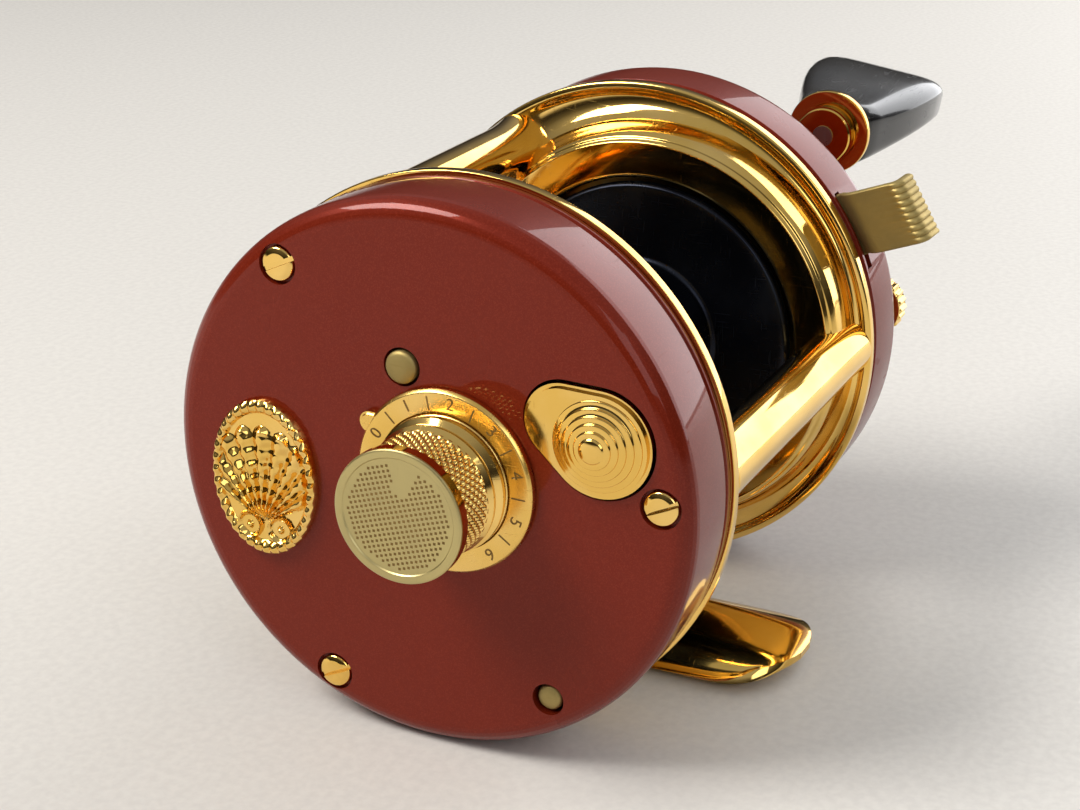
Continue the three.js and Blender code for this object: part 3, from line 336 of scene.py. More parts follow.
def plate(outline, x0, x1, bevel=0.2, segments=3):
    """A flat piece with an outline of (y, z) points, its face edges rounded."""
    bm = skin([[(x, y, z) for y, z in outline] for x in (x0, x1)], caps=True)
    rims = [edge for edge in bm.edges if any(len(face.verts) > 4 for face in edge.link_faces)]
    if len(outline) == 4:
        rims = list(bm.edges)
    round_edges(bm, rims, bevel, segments)
    return bm


def round_edges(bm, edges, size, segments):
    bmesh.ops.bevel(
        bm, geom=edges, offset=size * MM, segments=segments, affect="EDGES", clamp_overlap=True)


def block(x0, x1, y0, y1, z0, z1, bevel=0.2):
    bm = skin([[(x, y0, z0), (x, y1, z0), (x, y1, z1), (x, y0, z1)] for x in (x0, x1)], caps=True)
    round_edges(bm, list(bm.edges), bevel, 3)
    return bm


def strap(first, first_radius, second, second_radius, steps=40):
    """Outline round two circles joined by their outer tangents."""
    heading = math.atan2(second[1] - first[1], second[0] - first[0])
    reach = math.dist(first, second)
    spread = math.acos((first_radius - second_radius) / reach)
    points = []
    for centre, radius, start, end in (
        (first, first_radius, heading + spread, heading - spread + 2 * math.pi),
        (second, second_radius, heading - spread, heading + spread),
    ):
        for step in range(steps + 1):
            angle = start + (end - start) * step / steps
            points.append((centre[0] + radius * math.cos(angle), centre[1] + radius * math.sin(angle)))
    return points


def rod_along(path, radius, sides=20):
    """A round wire along a path of (x, y, z) points, with flat ends."""
    rows = []
    for i, here in enumerate(path):
        here = Vector(here)
        before = Vector(path[max(i - 1, 0)])
        after = Vector(path[min(i + 1, len(path) - 1)])
        ahead = (after - before).normalized()
        side = ahead.cross(Vector((0, 1, 0))).normalized()
        up = side.cross(ahead)
        ring = []
        for step in range(sides):
            angle = 2 * math.pi * step / sides
            ring.append(tuple(here + radius * (side * math.cos(angle) + up * math.sin(angle))))
        rows.append(ring)
    return skin(rows, caps=True)


SHARP = math.radians(33)      # a steeper fold than this is shaded as an edge
SQUARE = ((-1, -1), (1, -1), (1, 1), (-1, 1))


def piece(name, bm, look, body, *nodes):
    """Makes a mesh object, shades it smooth up to its sharp edges, ties it to its body, and hides the CAD
    nodes it stands in for.
    """
    for edge in bm.edges:
        edge.smooth = len(edge.link_faces) != 2 or edge.calc_face_angle() < SHARP
    for face in bm.faces:
        face.smooth = True
    mesh = bpy.data.meshes.new(name)
    bm.to_mesh(mesh)
    bm.free()
    mesh.materials.append(LOOKS[look])
    made = bpy.data.objects.new(name, mesh)
    bpy.context.scene.collection.objects.link(made)
    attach(made, body)
    if nodes:
        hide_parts(*nodes)
    return made


def cut(bm, tools):
    """The mesh with the tools' volumes taken away."""
    objects = []
    for shape in [bm, *tools]:
        mesh = bpy.data.meshes.new("cutting")
        shape.to_mesh(mesh)
        shape.free()
        made = bpy.data.objects.new("cutting", mesh)
        bpy.context.scene.collection.objects.link(made)
        objects.append(made)
    blank = objects[0]
    for tool in objects[1:]:
        modifier = blank.modifiers.new("cut", "BOOLEAN")
        modifier.operation = "DIFFERENCE"
        modifier.solver = "EXACT"
        modifier.object = tool
    graph = bpy.context.evaluated_depsgraph_get()
    result = bmesh.new()
    result.from_mesh(blank.evaluated_get(graph).to_mesh())
    for made in objects:
        mesh = made.data
        bpy.data.objects.remove(made)
        bpy.data.meshes.remove(mesh)
    bmesh.ops.remove_doubles(result, verts=result.verts, dist=0.01 * MM)
    bmesh.ops.dissolve_degenerate(result, edges=result.edges, dist=0.01 * MM)
    return result


# ---- frame ----


def build_rings():
    """Both rings. Profile points are (radius, x, share of the shift to the spool axis, corner size)."""
    front = [
        (RIM_RADIUS, FRAME_HALF - 1.3, 0, 0.25),
        (RIM_RADIUS - 0.8, FRAME_HALF - 1.5, 0, 0.3),
        (28.5, 21.8, 0.08, 0.35),
        (26.8, 21.6, 0.4, 1.1),
        (25.1, 20.2, 0.84, 1.3),
        (24.2, 17.2, 1, 0.5),
        (23.85, 16.5, 1, 0.12),
        (23.55, 16.4, 1, 0.12),
        (23.3, 15.85, 1, 0.2),
        (19.3, 16.1, 1, 0.25),
        (18.9, 16.6, 1, 0.2),
    ]
    back = [
        (18.9, 17.7, 1, 0.15),
        (22.7, 17.4, 1, 0.4),
        (24.4, FRAME_HALF, 0.75, 0.2),
        (RIM_RADIUS, FRAME_HALF, 0, 0.15),
    ]
    profile = rounded(front + back, closed=True, steps=4)
    steps = 160
    for name, side in (("left_ring", -1), ("right_ring", 1)):
        rows = []
        for step in range(steps):
            angle = 2 * math.pi * step / steps
            row = []
            for radius, x, shift in profile:
                y = shift * SPOOL_AXIS[0] + radius * math.cos(angle)
                z = shift * SPOOL_AXIS[1] + radius * math.sin(angle)
                row.append((side * x, y, z))
            rows.append(row)
        piece(f"{name}_casting", skin(rows, wrap_rows=True), "gold", "frame", name)


def build_pillars():
    for name, radius in PILLAR_RADIUS.items():
        at = REAR_PILLAR if name == "rear" else bolt_at(name)
        flare = 0.12 if name == "rear" else 0.55
        end = 21.7
        profile = [(0, -end)]
        steps = 9
        for side in (-1, 1):
            for step in range(steps + 1):
                t = step / steps
                along = t if side == -1 else 1 - t
                reach = radius + flare * (1 - along) ** 2.2
                profile.append((reach, side * (end - 6.5 * along)))
        profile.append((0, end))
        piece(f"{name}_bar", lathe(profile, at, 0.2, 48), "gold", "frame", f"{name}_pillar")


def build_foot():
    half_width, half_length, thickness, drop, flat = 9, 31, 1.2, 1.4, 3
    underside = -AXIS_HEIGHT
    rows = []
    stations = 72
    across = 22
    for step in range(stations + 1):
        turn = math.pi * step / stations
        y = -half_length * math.cos(turn)
        past = max(0, (abs(y) - 23) / (half_length - 23))
        half = half_width * max(0.02, (1 - past ** 2.3)) ** (1 / 2.3)
        thin = thickness * (1 - 0.35 * past ** 6)
        top, bottom = [], []
        for i in range(across + 1):
            u = -1 + 2 * i / across
            x = half * u
            sag = drop * max(0, (abs(x) - flat) / (half_width - flat)) ** 2
            edge = 0.42 * max(0, (abs(u) - 0.93) / 0.07) ** 2
            top.append((x * (1 - 0.02 * abs(u) ** 8), y, underside - sag + thin - edge))
            bottom.append((x, y, underside - sag + edge * 0.6))
        rows.append(bottom + top[::-1])
    piece("foot_plate", skin(rows, caps=True), "gold", "frame", "reel_foot")

    crown = underside + thickness
    bridge = block(-21.6, 21.6, -7.5, 6, crown + 0.1, crown + 1.7, 0.35)
    piece("foot_crossbar", bridge, "gold", "frame", "foot_bridge")
    for name, y in (("rear_rivet", -5.2), ("front_rivet", 4.2)):
        profile = [(0, underside + 0.1), (1.2, underside + 0.1), (1.2, crown + 1.7), (2.4, crown + 1.7),
                   (2.3, crown + 2.2), (1.6, crown + 2.65), (0.8, crown + 2.8), (0, crown + 2.85)]
        piece(f"{name}_head", lathe_upright(profile, 0, y), "gold", "frame", name)


# ---- side covers ----


def cover_cup(side):
    edge = 2.1
    profile = [(0, COVER_FACE), (COVER_RADIUS - edge - 0.3, COVER_FACE), (COVER_RADIUS - edge, COVER_FACE)]
    for degrees in range(15, 91, 15):
        angle = math.radians(degrees)
        radius = COVER_RADIUS - edge + edge * math.sin(angle)
        profile.append((radius, COVER_FACE - edge + edge * math.cos(angle)))
    profile += [
        (COVER_RADIUS, FRAME_HALF + 1.75),
        (COVER_RADIUS - 0.45, FRAME_HALF + 1.6),
        (COVER_RADIUS - 0.45, FRAME_HALF + 0.95),
        (COVER_RADIUS - 0.15, FRAME_HALF + 0.8),
        (COVER_RADIUS - 0.15, FRAME_HALF + 0.1),
        (COVER_RADIUS - 1.4, FRAME_HALF + 0.1),
        (COVER_RADIUS - 1.4, COVER_FACE - 1.4),
        (0, COVER_FACE - 1.4),
    ]
    return lathe([(radius, side * x) for radius, x in profile], (0, 0), 0.08, 160)


def drill(radius, x0, x1, at, steps=64):
    return lathe([(0, x0), (radius, x0), (radius, x1), (0, x1)], at, 0.001, steps)


def build_covers():
    outer, inner = -COVER_FACE - 3, -COVER_FACE + 4
    tools = [
        drill(7.2, outer, inner, SPOOL_AXIS),
        plate(strap(BUTTON, 5.9, BUTTON_LOBE, 4.4), outer, inner, 0.01, 1),
        drill(2.05, outer, inner, INDEX_PIN),
        drill(1.75, outer, inner, LOWER_PIN),
    ]
    for name in BOLT_ANGLES:
        tools.append(drill(2.15, outer, -COVER_FACE + 0.7, bolt_at(name)))
    piece("left_side_cover", cut(cover_cup(-1), tools), "red_lacquer", "frame", "left_cover")

    tools = [drill(6.1, 30, 36, SPOOL_AXIS), drill(5.6, 30, 36, DRIVE_AXIS), lever_window()]
    piece("right_side_cover", cut(cover_cup(1), tools), "red_lacquer", "frame", "right_cover")


def beside_lever(reach, across):
    """A point so far from the side plate centre along the thumb lever, and so far to its lower side."""
    out = polar(1, LEVER_ANGLE)
    return (reach * out[0] - across * out[1], reach * out[1] + across * out[0])


def lever_window():
    """The slot in the cover's wall, with room on the side that the lever swings to."""
    upper, lower = -LEVER_WIDTH / 2 - 0.25, LEVER_WIDTH / 2 + 1.7
    inner, outer = 25, 32
    places = ((inner, upper), (outer, upper), (outer, lower), (inner, lower))
    return plate([beside_lever(reach, side) for reach, side in places], 25.2, 26.6, 0.01)


def build_screws():
    shank = 0.9
    profile = [(0, -33.82), (1.2, -33.78), (1.7, -33.6), (1.85, -33.4), (1.85, -33.05),
               (shank, -33.05), (shank, -19), (0, -19)]
    for name in BOLT_ANGLES:
        at = bolt_at(name)
        screw = cut(lathe(profile, at, 0.1, 48), [screw_slot(*at)])
        piece(f"{name}_slotted_screw", screw, "gold", "frame", f"{name}_screw")


def screw_slot(y, z):
    """A straight driver slot across a head at (y, z), turned out of level."""
    turn = math.radians(25)
    reach, half = 2.5, 0.27
    corners = []
    for along, side in SQUARE:
        dy = along * reach * math.cos(turn) - side * half * math.sin(turn)
        dz = along * reach * math.sin(turn) + side * half * math.cos(turn)
        corners.append((y - dy, z + dz))
    return plate(corners, -34.5, -33.2, 0.01, 1)


def build_pins():
    pins = (("index_pin", 1.75, INDEX_PIN, 0.55), ("lower_pin", 1.4, LOWER_PIN, -0.25))
    for name, radius, at, rise in pins:
        face = COVER_FACE + rise
        dome = [(0, -27), (radius, -27), (radius, -face + 0.35), (radius * 0.86, -face + 0.12),
                (radius * 0.5, -face - 0.05), (0, -face - 0.1)]
        piece(f"{name}_dome", lathe(dome, at, 0.15, 48), "dull_brass", "frame", name)


BADGE_HALF_WIDTH = 6.3
BADGE_HALF_HEIGHT = 8.8


def badge_height(across, up):
    """Height of the plaque above its back at a point: a beaded rim, a fan of shell ribs, and two scrolls."""
    reach = math.hypot(across / BADGE_HALF_WIDTH, up / BADGE_HALF_HEIGHT)
    around = math.atan2(up / BADGE_HALF_HEIGHT, across / BADGE_HALF_WIDTH)
    height = 0.5
    if 0.83 < reach < 1:
        bead = 0.5 + 0.5 * math.cos(36 * around)
        height += (0.4 + 0.3 * bead) * math.sin(math.pi * (reach - 0.83) / 0.17) ** 0.7
    from_hinge = (across, up + 5.0)
    distance = math.hypot(*from_hinge)
    angle = math.degrees(math.atan2(from_hinge[0], from_hinge[1]))
    rib = 0.5 + 0.5 * math.cos(math.radians(angle * 360 / 14))
    limit = 10.4 - 0.0007 * angle ** 2 + 0.5 * rib
    if abs(angle) < 64 and distance < limit and reach < 0.82:
        rise = min(1, distance / 2.0) * min(1, (limit - distance) / 0.5)
        growth = 0.08 * math.sin(distance * 4.2)
        height += (0.12 + 0.65 * rib ** 0.8 + growth) * rise
    for side in (-1, 1):
        scroll = math.hypot(across - side * 1.9, up + 5.7)
        if scroll < 1.5:
            height = max(height, 0.6 + 0.4 * math.cos(scroll * 4.2))
    return min(height, 1.25)


def build_badge():
    rings, spokes = 90, 288
    rows = []
    for ring in range(rings + 1):
        t = ring / rings
        row = []
        for spoke in range(spokes):
            angle = 2 * math.pi * spoke / spokes
            across = BADGE_HALF_WIDTH * t * math.cos(angle)
            up = BADGE_HALF_HEIGHT * t * math.sin(angle)
            height = badge_height(across, up) if t < 1 else 0
            row.append((-COVER_FACE - 0.1 - height, BADGE[0] + across, BADGE[1] + up))
        rows.append(row)
    rows.append([(-COVER_FACE + 0.02, point[1], point[2]) for point in rows[-1]])
    bm = skin(rows)
    bmesh.ops.holes_fill(bm, edges=bm.edges)
    tidy(bm)
    piece("shell_badge", bm, "gold", "frame", "badge")


# ---- cast control and brake dial ----


def face_text(text, size, degrees, radius, x):
    """A number standing on the dial's face, its foot towards the centre, as a mesh."""
    curve = bpy.data.curves.new("number", "FONT")
    curve.body = text
    curve.size = size * MM
    curve.extrude = 0.03 * MM
    curve.align_x = "CENTER"
    curve.align_y = "CENTER"
    made = bpy.data.objects.new("number", curve)
    bpy.context.scene.collection.objects.link(made)
    graph = bpy.context.evaluated_depsgraph_get()
    bm = bmesh.new()
    bm.from_mesh(made.evaluated_get(graph).to_mesh())
    bpy.data.objects.remove(made)
    bpy.data.curves.remove(curve)
    y, z = polar(radius, degrees, SPOOL_AXIS)
    out = polar(1, degrees)
    outward = Vector((0, out[0], out[1]))
    facing = Vector((-1, 0, 0))
    across = outward.cross(facing)
    matrix = Matrix((across, outward, facing)).transposed().to_4x4()
    matrix.translation = place((x, y, z))
    bmesh.ops.transform(bm, matrix=matrix, verts=bm.verts)
    return bm


def build_dial():
    face = COVER_FACE + 1.1
    rim = 9.9
    flange = [(5.8, 31.4), (6.9, 31.4), (6.9, COVER_FACE + 0.1), (rim, COVER_FACE + 0.1),
              (rim, COVER_FACE + 0.75), (9.6, face), (7.4, face), (7.25, face - 0.15), (7.1, face),
              (5.8, face)]
    disc = lathe([(radius, -x) for radius, x in flange], SPOOL_AXIS, 0.1, 120)
    root, tip = polar(7.6, 58, SPOOL_AXIS), polar(9.85, 60, SPOOL_AXIS)
    tab = plate(strap(root, 1.9, tip, 1.15), -COVER_FACE - 0.1, -COVER_FACE - 1.0, 0.3)
    piece("numbered_dial", joined(disc, tab), "turned_gold", "dial", "brake_dial")

    marks = []
    first, step, last = 62, 34, 6
    for number in range(last + 1):
        degrees = first - step * number
        marks.append(face_text(str(number), 1.85, degrees, 8.55, -face - 0.01))
        if number < last:
            near = polar(7.75, degrees - step / 2, SPOOL_AXIS)
            far = polar(9.15, degrees - step / 2, SPOOL_AXIS)
            marks.append(plate(strap(near, 0.09, far, 0.0901, 6), -face + 0.1, -face - 0.03, 0.01, 1))
    piece("dial_numbers", joined(*marks), "ink", "dial")


def build_cast_knob():
    base, front = COVER_FACE + 1.5, 44.1
    x0, x1 = base + 2.6, front - 1.8
    count, pitch, depth = 40, 0.98, 0.32

    def knurl(angle, x, radius):
        x = -x
        if radius < 6 or x < x0 or x > x1:
            return 0
        fade = min(1, (x - x0) / 0.3, (x1 - x) / 0.3)
        around = angle * count / 2
        along = math.pi * (x - x0) / pitch
        return depth * fade * (abs(math.sin(around + along)) * abs(math.sin(around - along)) - 0.9)

    profile = [(5.8, base), (7.25, base), (7.25, base + 0.5), (6.6, base + 0.95),
               (6.95, base + 1.5), (6.95, base + 1.9), (6.6, base + 2.4)]
    rows = 56
    for i in range(rows + 1):
        profile.append((6.7, x0 + (x1 - x0) * i / rows))
    profile += [(6.8, front - 1.6), (7.05, front - 1.35), (7.05, front - 0.3), (0, front - 0.3),
                (0, 38.8), (5.8, 38.8)]
    barrel = knurled(profile, knurl)
    piece("cast_control_knob", barrel, "gold", "cast_adjuster", "cast_knob")
    cap = [(0, 0.35), (6.9, 0.35), (7.05, 0.28), (7.02, 0.1), (6.85, 0), (6.2, 0), (6.08, 0.16), (0, 0.16)]
    disc = lathe([(radius, depth - front) for radius, depth in cap], SPOOL_AXIS, 0.04, 120)
    piece("cast_knob_face", disc, "pale_brass", "cast_adjuster")
    pits = [pit(0.16 - front, y, z) for y, z in pit_places()]
    piece("cast_knob_pits", joined(*pits), "ink", "cast_adjuster")


def knurled(profile, wave):
    """A turned barrel whose middle carries a fine cut pattern; the ends are left plain."""
    steps = 400
    points = [(radius, -x) for radius, x in profile]
    rows = []
    for step in range(steps):
        angle = 2 * math.pi * step / steps
        row = []
        for radius, x in points:
            reach = radius + wave(angle, x, radius)
            row.append((x, SPOOL_AXIS[0] + reach * math.cos(angle), SPOOL_AXIS[1] + reach * math.sin(angle)))
        rows.append(row)
    return skin(rows, wrap_rows=True)


# the direction of the painted highlight wedge on the knob's face, where the pit grid is left out to stand in
# for glare
GLARE_WEDGE_ANGLE = -8
GRID_TURN = math.radians(-18)


def pit_places():
    """A square grid inside the knob's rim, left out over a wedge near the top: that bare wedge is a painted
    highlight, the glare on the face painted by drawing no pits there.
    """
    pitch, each_way, rim = 0.53, 11, 5.6
    # half angle of the painted highlight wedge, and how far from the centre it starts
    glare_half_angle, glare_start = 17, 2.2
    cos, sin = math.cos(GRID_TURN), math.sin(GRID_TURN)
    places = []
    for i in range(-each_way, each_way + 1):
        for j in range(-each_way, each_way + 1):
            across, up = i * pitch, j * pitch
            if math.hypot(across, up) > rim:
                continue
            y = across * cos - up * sin
            z = across * sin + up * cos
            off_glare = abs(math.degrees(math.atan2(y, z)) - GLARE_WEDGE_ANGLE)
            if off_glare < glare_half_angle and math.hypot(y, z) > glare_start:
                continue
            places.append((SPOOL_AXIS[0] + y, SPOOL_AXIS[1] + z))
    return places


def pit(x, y, z):
    """The dark floor of one small square pit, a hair above the knob's face."""
    half, below, above = 0.14, -0.03, 0.012
    rows = []
    for height in (below, above):
        rows.append([(x - height, y + a * half, z + b * half) for a, b in SQUARE])
    return skin(rows, caps=True)


def build_button():
    face = COVER_FACE
    body = plate(strap(BUTTON, 5.6, BUTTON_LOBE, 4.1), -face + 0.7, -face - 0.7, 0.4, 4)
    steps = [(0, face - 2.3), (5.0, face - 2.3), (5.0, face + 0.65)]
    for radius, height in ((4.75, 0.75), (4.05, 1.1), (3.35, 1.42), (2.65, 1.72), (1.95, 2.0)):
        level = face + height
        steps += [(radius, level - 0.12), (radius, level + 0.1), (radius - 0.45, level + 0.14)]
    steps += [(1.35, face + 2.12), (1.2, face + 2.32), (0.7, face + 2.42), (0, face + 2.45)]
    dome = lathe([(radius, -x) for radius, x in steps], BUTTON, 0.09, 96)
    stem = drill(1.4, -face + 0.7, -28, BUTTON, 32)
    piece("release_button", joined(body, dome, stem), "gold", "release", "push_button")


# ---- spool and level wind ----


def build_spool():
    half = [
        (9.4, 14.4), (9.9, 14.75), (17.4, 15.75), (18.1, 15.9), (18.4, 16.3), (18.4, 17.0), (17.8, 17.1),
        (8.2, 15.9), (8.2, 4), (3.4, 5), (3.4, 12), (1.6, 12),
    ]
    profile = half + [(radius, -x) for radius, x in reversed(half)]
    piece("bare_spool", lathe(profile, SPOOL_AXIS, 0.2, 160), "black_anodised", "spool_assembly", "spool")


def build_level_wind():
    y, z = WORM_AXIS
    tube = lathe([(2.6, -21.8), (3.4, -21.8), (3.4, 21.8), (2.6, 21.8)], WORM_AXIS, 0.1, 64)
    slot = block(-19, 19, y - 1.1, y + 1.1, z - 5, z - 2, 0.01)
    piece("slotted_tube", cut(tube, [slot]), "gold", "frame", "worm_tube")

    def crossed_groove(angle, x, radius):
        if radius < 1.9 or abs(x) > 17:
            return 0
        turn = x * 2 * math.pi / 5.2
        depth = 0
        for direction in (-1, 1):
            off = abs(math.remainder(angle - direction * turn, 2 * math.pi))
            depth = max(depth, 1 - min(1, off / 0.55) ** 3)
        return -0.55 * depth

    profile = [(0, -27.5), (0.9, -27.5), (0.9, -23), (2.1, -22.8)]
    profile += [(2.1, -18 + 0.3 * i) for i in range(121)]
    profile += [(2.1, 22.8), (1.4, 23), (1.4, 23.9), (0, 23.9)]
    worm = lathe(profile, WORM_AXIS, 0.03, 48, crossed_groove)
    piece("grooved_worm", worm, "steel", "worm", "worm_shaft")
    rail = [(0, -22), (1, -22), (1, 22), (0, 22)]
    piece("guide_rail", lathe(rail, GUIDE_ROD, 0.1, 40), "steel", "frame", "guide_rod")
    piece("line_guide_carriage", line_guide(), "gold", "level_wind", "line_guide")
    top = z - 6.75
    cap = lathe_upright([(0, top - 1.5), (1.6, top - 1.5), (2, top - 1.2), (2, top), (0, top)], 0, y, 0.1)
    piece("pawl_screw_cap", cap, "brass", "level_wind", "pawl_cap")


def line_guide():
    y, z = WORM_AXIS
    carriage = lathe([(3.7, -5), (5.1, -5), (5.4, -4.6), (5.4, 4.6), (5.1, 5), (3.7, 5)], WORM_AXIS, 0.15, 72)
    bottom, top = z - 6.6, z - 4.6
    well = lathe_upright([(1.7, bottom), (2.7, bottom), (2.8, z - 6.3), (2.8, top), (1.7, top)], 0, y)
    arch = rod_along(guide_arch_path(y, z), 0.9)
    fork = guide_fork_outline(z - 3.4)
    near = plate(fork, -2, -1.75, 0.05)
    far = plate(fork, 1.75, 2, 0.05)
    web = plate(fork, -1.74, 1.74, 0.02)
    return joined(carriage, well, arch, near, far, web)


def guide_arch_path(y, z):
    """Up one leg, over the arch that the line runs through, and down the other leg."""
    half, steps = 3.6, 12
    heights = [z + 4.6 + 0.9 * i for i in range(10)]
    path = [(-half, y, height) for height in heights]
    for step in range(1, steps):
        angle = math.pi - math.pi * step / steps
        path.append((half * math.cos(angle), y, z + 13 + 2.0 * math.sin(angle)))
    return path + [(half, y, height) for height in reversed(heights)]


def guide_fork_outline(top):
    """The foot of the line guide, open downwards round the guide rod."""
    rod_y, rod_z = GUIDE_ROD
    bore, steps = 1.3, 8
    outline = [(rod_y - 2.4, top), (rod_y - 2.4, rod_z - 2), (rod_y - bore, rod_z - 2), (rod_y - bore, rod_z)]
    for step in range(1, steps):
        angle = math.pi - math.pi * step / steps
        outline.append((rod_y + bore * math.cos(angle), rod_z + bore * math.sin(angle)))
    outline += [(rod_y + bore, rod_z), (rod_y + bore, rod_z - 2), (rod_y + 2.3, rod_z - 2),
                (rod_y + 2.3, rod_z + 2.8), (rod_y + 0.6, top)]
    return outline


# ---- right side ----


def build_spool_cap():
    neck = [(4.9, 31.8), (5.8, 31.8), (5.8, 33.8)]
    ribbed = [(6.6, 33.8 + 0.44 * i) for i in range(6)]
    crown = [(6.1, 36.55), (2.5, 36.6), (2.2, 36.3), (0, 36.3), (0, 35.4), (4.9, 35.4)]
    ribs, depth = 48, 0.12

    def grip(angle, x, radius):
        on_ribs = radius > 6.4 and 33.9 < x < 36.0
        return depth * (abs(math.sin(angle * ribs / 2)) - 1) if on_ribs else 0

    cap = lathe(neck + ribbed + crown, SPOOL_AXIS, 0.05, 288, grip)
    piece("spool_end_cap", cap, "gold", "spool_cap", "right_spool_cap")


def build_thumbscrews():
    profile = [(0, 19), (0.9, 19), (0.9, 33.7), (3.3, 33.7), (3.6, 33.95), (3.6, 34.5), (3.6, 35.4),
               (3.6, 35.95), (3.3, 36.2), (1.8, 36.2), (1.5, 36.0), (0, 36.0)]
    ribs, depth = 22, 0.16

    def grip(angle, x, radius):
        return depth * (math.cos(angle * ribs) - 1) if radius > 3.4 else 0

    for name in BOLT_ANGLES:
        screw = lathe(profile, bolt_at(name), 0.06, 176, grip)
        piece(f"{name}_knurled_screw", screw, "gold", f"{name}_fastener", f"{name}_thumbscrew")


def build_lever():
    pivot = polar(19.5, LEVER_ANGLE)
    hidden_arm = plate(strap(pivot, 2.6, polar(27.5, LEVER_ANGLE), 3.2), 25.5, 26.3, 0.1)
    piece("ribbed_lever", joined(hidden_arm, lever_tab()), "dull_brass", "lever", "thumb_lever")


def lever_path():
    """Side view of the tab as (x, reach): out of the slot, inboard past the rim, on, then curled outboard."""
    bend_end, straight_end = (24.2, 32.3), (23.7, 36.7)
    path = [(25.9, 27), (25.9, 29.6), (25.5, 30.3), (24.9, 30.8), (24.4, 31.5), bend_end,
            (23.76, 36.2), straight_end]
    lean = -math.atan2(bend_end[0] - straight_end[0], straight_end[1] - bend_end[1])
    x, reach = straight_end
    curl = 0.9
    steps = 8
    for step in range(1, steps + 1):
        angle = lean + (math.radians(84) - lean) * step / steps
        outboard = curl * (math.cos(lean) - math.cos(angle))
        onward = curl * (math.sin(angle) - math.sin(lean))
        path.append((x + outboard, reach + onward))
    x, reach = path[-1]
    for step in range(1, 4):
        path.append((x + 0.8 * step, reach + 0.06 * step))
    return path


def lever_tab():
    """One bent strip, wider than it is thick, with fine ribs over the curl and the strip beyond it."""
    thickness, skew, columns = 0.9, 0.15, 161
    ribs, rib_height, ribs_start = 10, 0.2, 36.6
    path = lever_path()
    rows = []
    for side in (1, -1):
        section = path if side == 1 else path[::-1]
        for i, (x, reach) in enumerate(section):
            before, after = section[max(i - 1, 0)], section[min(i + 1, len(section) - 1)]
            ahead = Vector((after[0] - before[0], after[1] - before[1])).normalized()
            normal = Vector((-ahead.y, ahead.x))
            on_curl = max(0.0, min(1.0, (reach - ribs_start) / 0.4))
            row = []
            for column in range(columns):
                across = column / (columns - 1) - 0.5
                edge = 1 - 0.6 * max(0, (abs(across) - 0.47) / 0.03) ** 2
                rib = abs(math.sin(math.pi * ribs * (across + 0.5)))
                ribbing = rib_height * on_curl * rib if side == 1 else 0
                lift = (thickness / 2 + ribbing) * edge
                out = reach + normal.y * lift
                aside = across * LEVER_WIDTH + skew * max(0, out - RIM_RADIUS)
                row.append((x + normal.x * lift, *beside_lever(out, aside)))
            rows.append(row)
    bm = skin(rows, wrap_rows=True, wrap_columns=False)
    bmesh.ops.holes_fill(bm, edges=bm.edges)
    tidy(bm)
    return bm


# ---- handle ----


def build_handle():
    arms, steps = 5, 160
    outline = []
    for i in range(steps):
        angle = 2 * math.pi * i / steps
        swell = (1 + math.cos(arms * angle)) / 2
        outline.append(polar(6.6 + 8.9 * swell ** 2, math.degrees(angle) + 20, DRIVE_AXIS))
    wheel = plate(outline, 37.6, 39.4, 0.35)
    hub = lathe([(2.4, 28.7), (5, 28.7), (5, 40.1), (4.7, 40.4), (2.4, 40.4)], DRIVE_AXIS, 0.1, 72)
    foot = lathe([(2.4, 27.9), (8.6, 27.9), (8.6, 28.7), (2.4, 28.7)], DRIVE_AXIS, 0.1, 72)
    piece("star_wheel", joined(wheel, hub, foot), "gold", "star", "star_drag")

    arm = plate(strap(DRIVE_AXIS, 5, KNOB_AXIS, 3.6), 41, 42.8, 0.35)
    tail = plate(strap(DRIVE_AXIS, 4.98, COUNTERWEIGHT_AXIS, 3.6), 41.01, 42.79, 0.35)
    piece("crank_arm", joined(arm, tail), "gold", "crank", "handle_arm")

    weight_profile = [(0, 40.6), (1.3, 40.6), (1.3, 42.9), (3.8, 42.9), (3.8, 43.6), (3.55, 43.8),
                      (3.8, 44.0), (3.8, 46.5), (3.2, 47.1), (1.6, 47.2), (0, 47.2)]
    weight = lathe(weight_profile, COUNTERWEIGHT_AXIS, 0.15, 72)
    piece("round_counterweight", weight, "gold", "crank", "counterweight")
    hexagon = [polar(4.2, 60 * i + KNOB_ANGLE, DRIVE_AXIS) for i in range(6)]
    chamfer = drill(4.6, 42.85, 43.5, DRIVE_AXIS)
    nut = cut(plate(hexagon, 42.9, 45.2, 0.3), [drill(1.9, 42, 46, DRIVE_AXIS)])
    piece("hexagon_nut", joined(nut, chamfer), "gold", "crank", "handle_nut")
    collar = [(1.6, 43), (5.2, 43), (5.2, 43.95), (4.7, 44.4), (1.6, 44.4)]
    piece("knob_washer", lathe(collar, KNOB_AXIS, 0.2, 72), "gold", "crank", "knob_collar")
    piece("paddle_knob", paddle(), "black_plastic", "knob", "handle_knob")


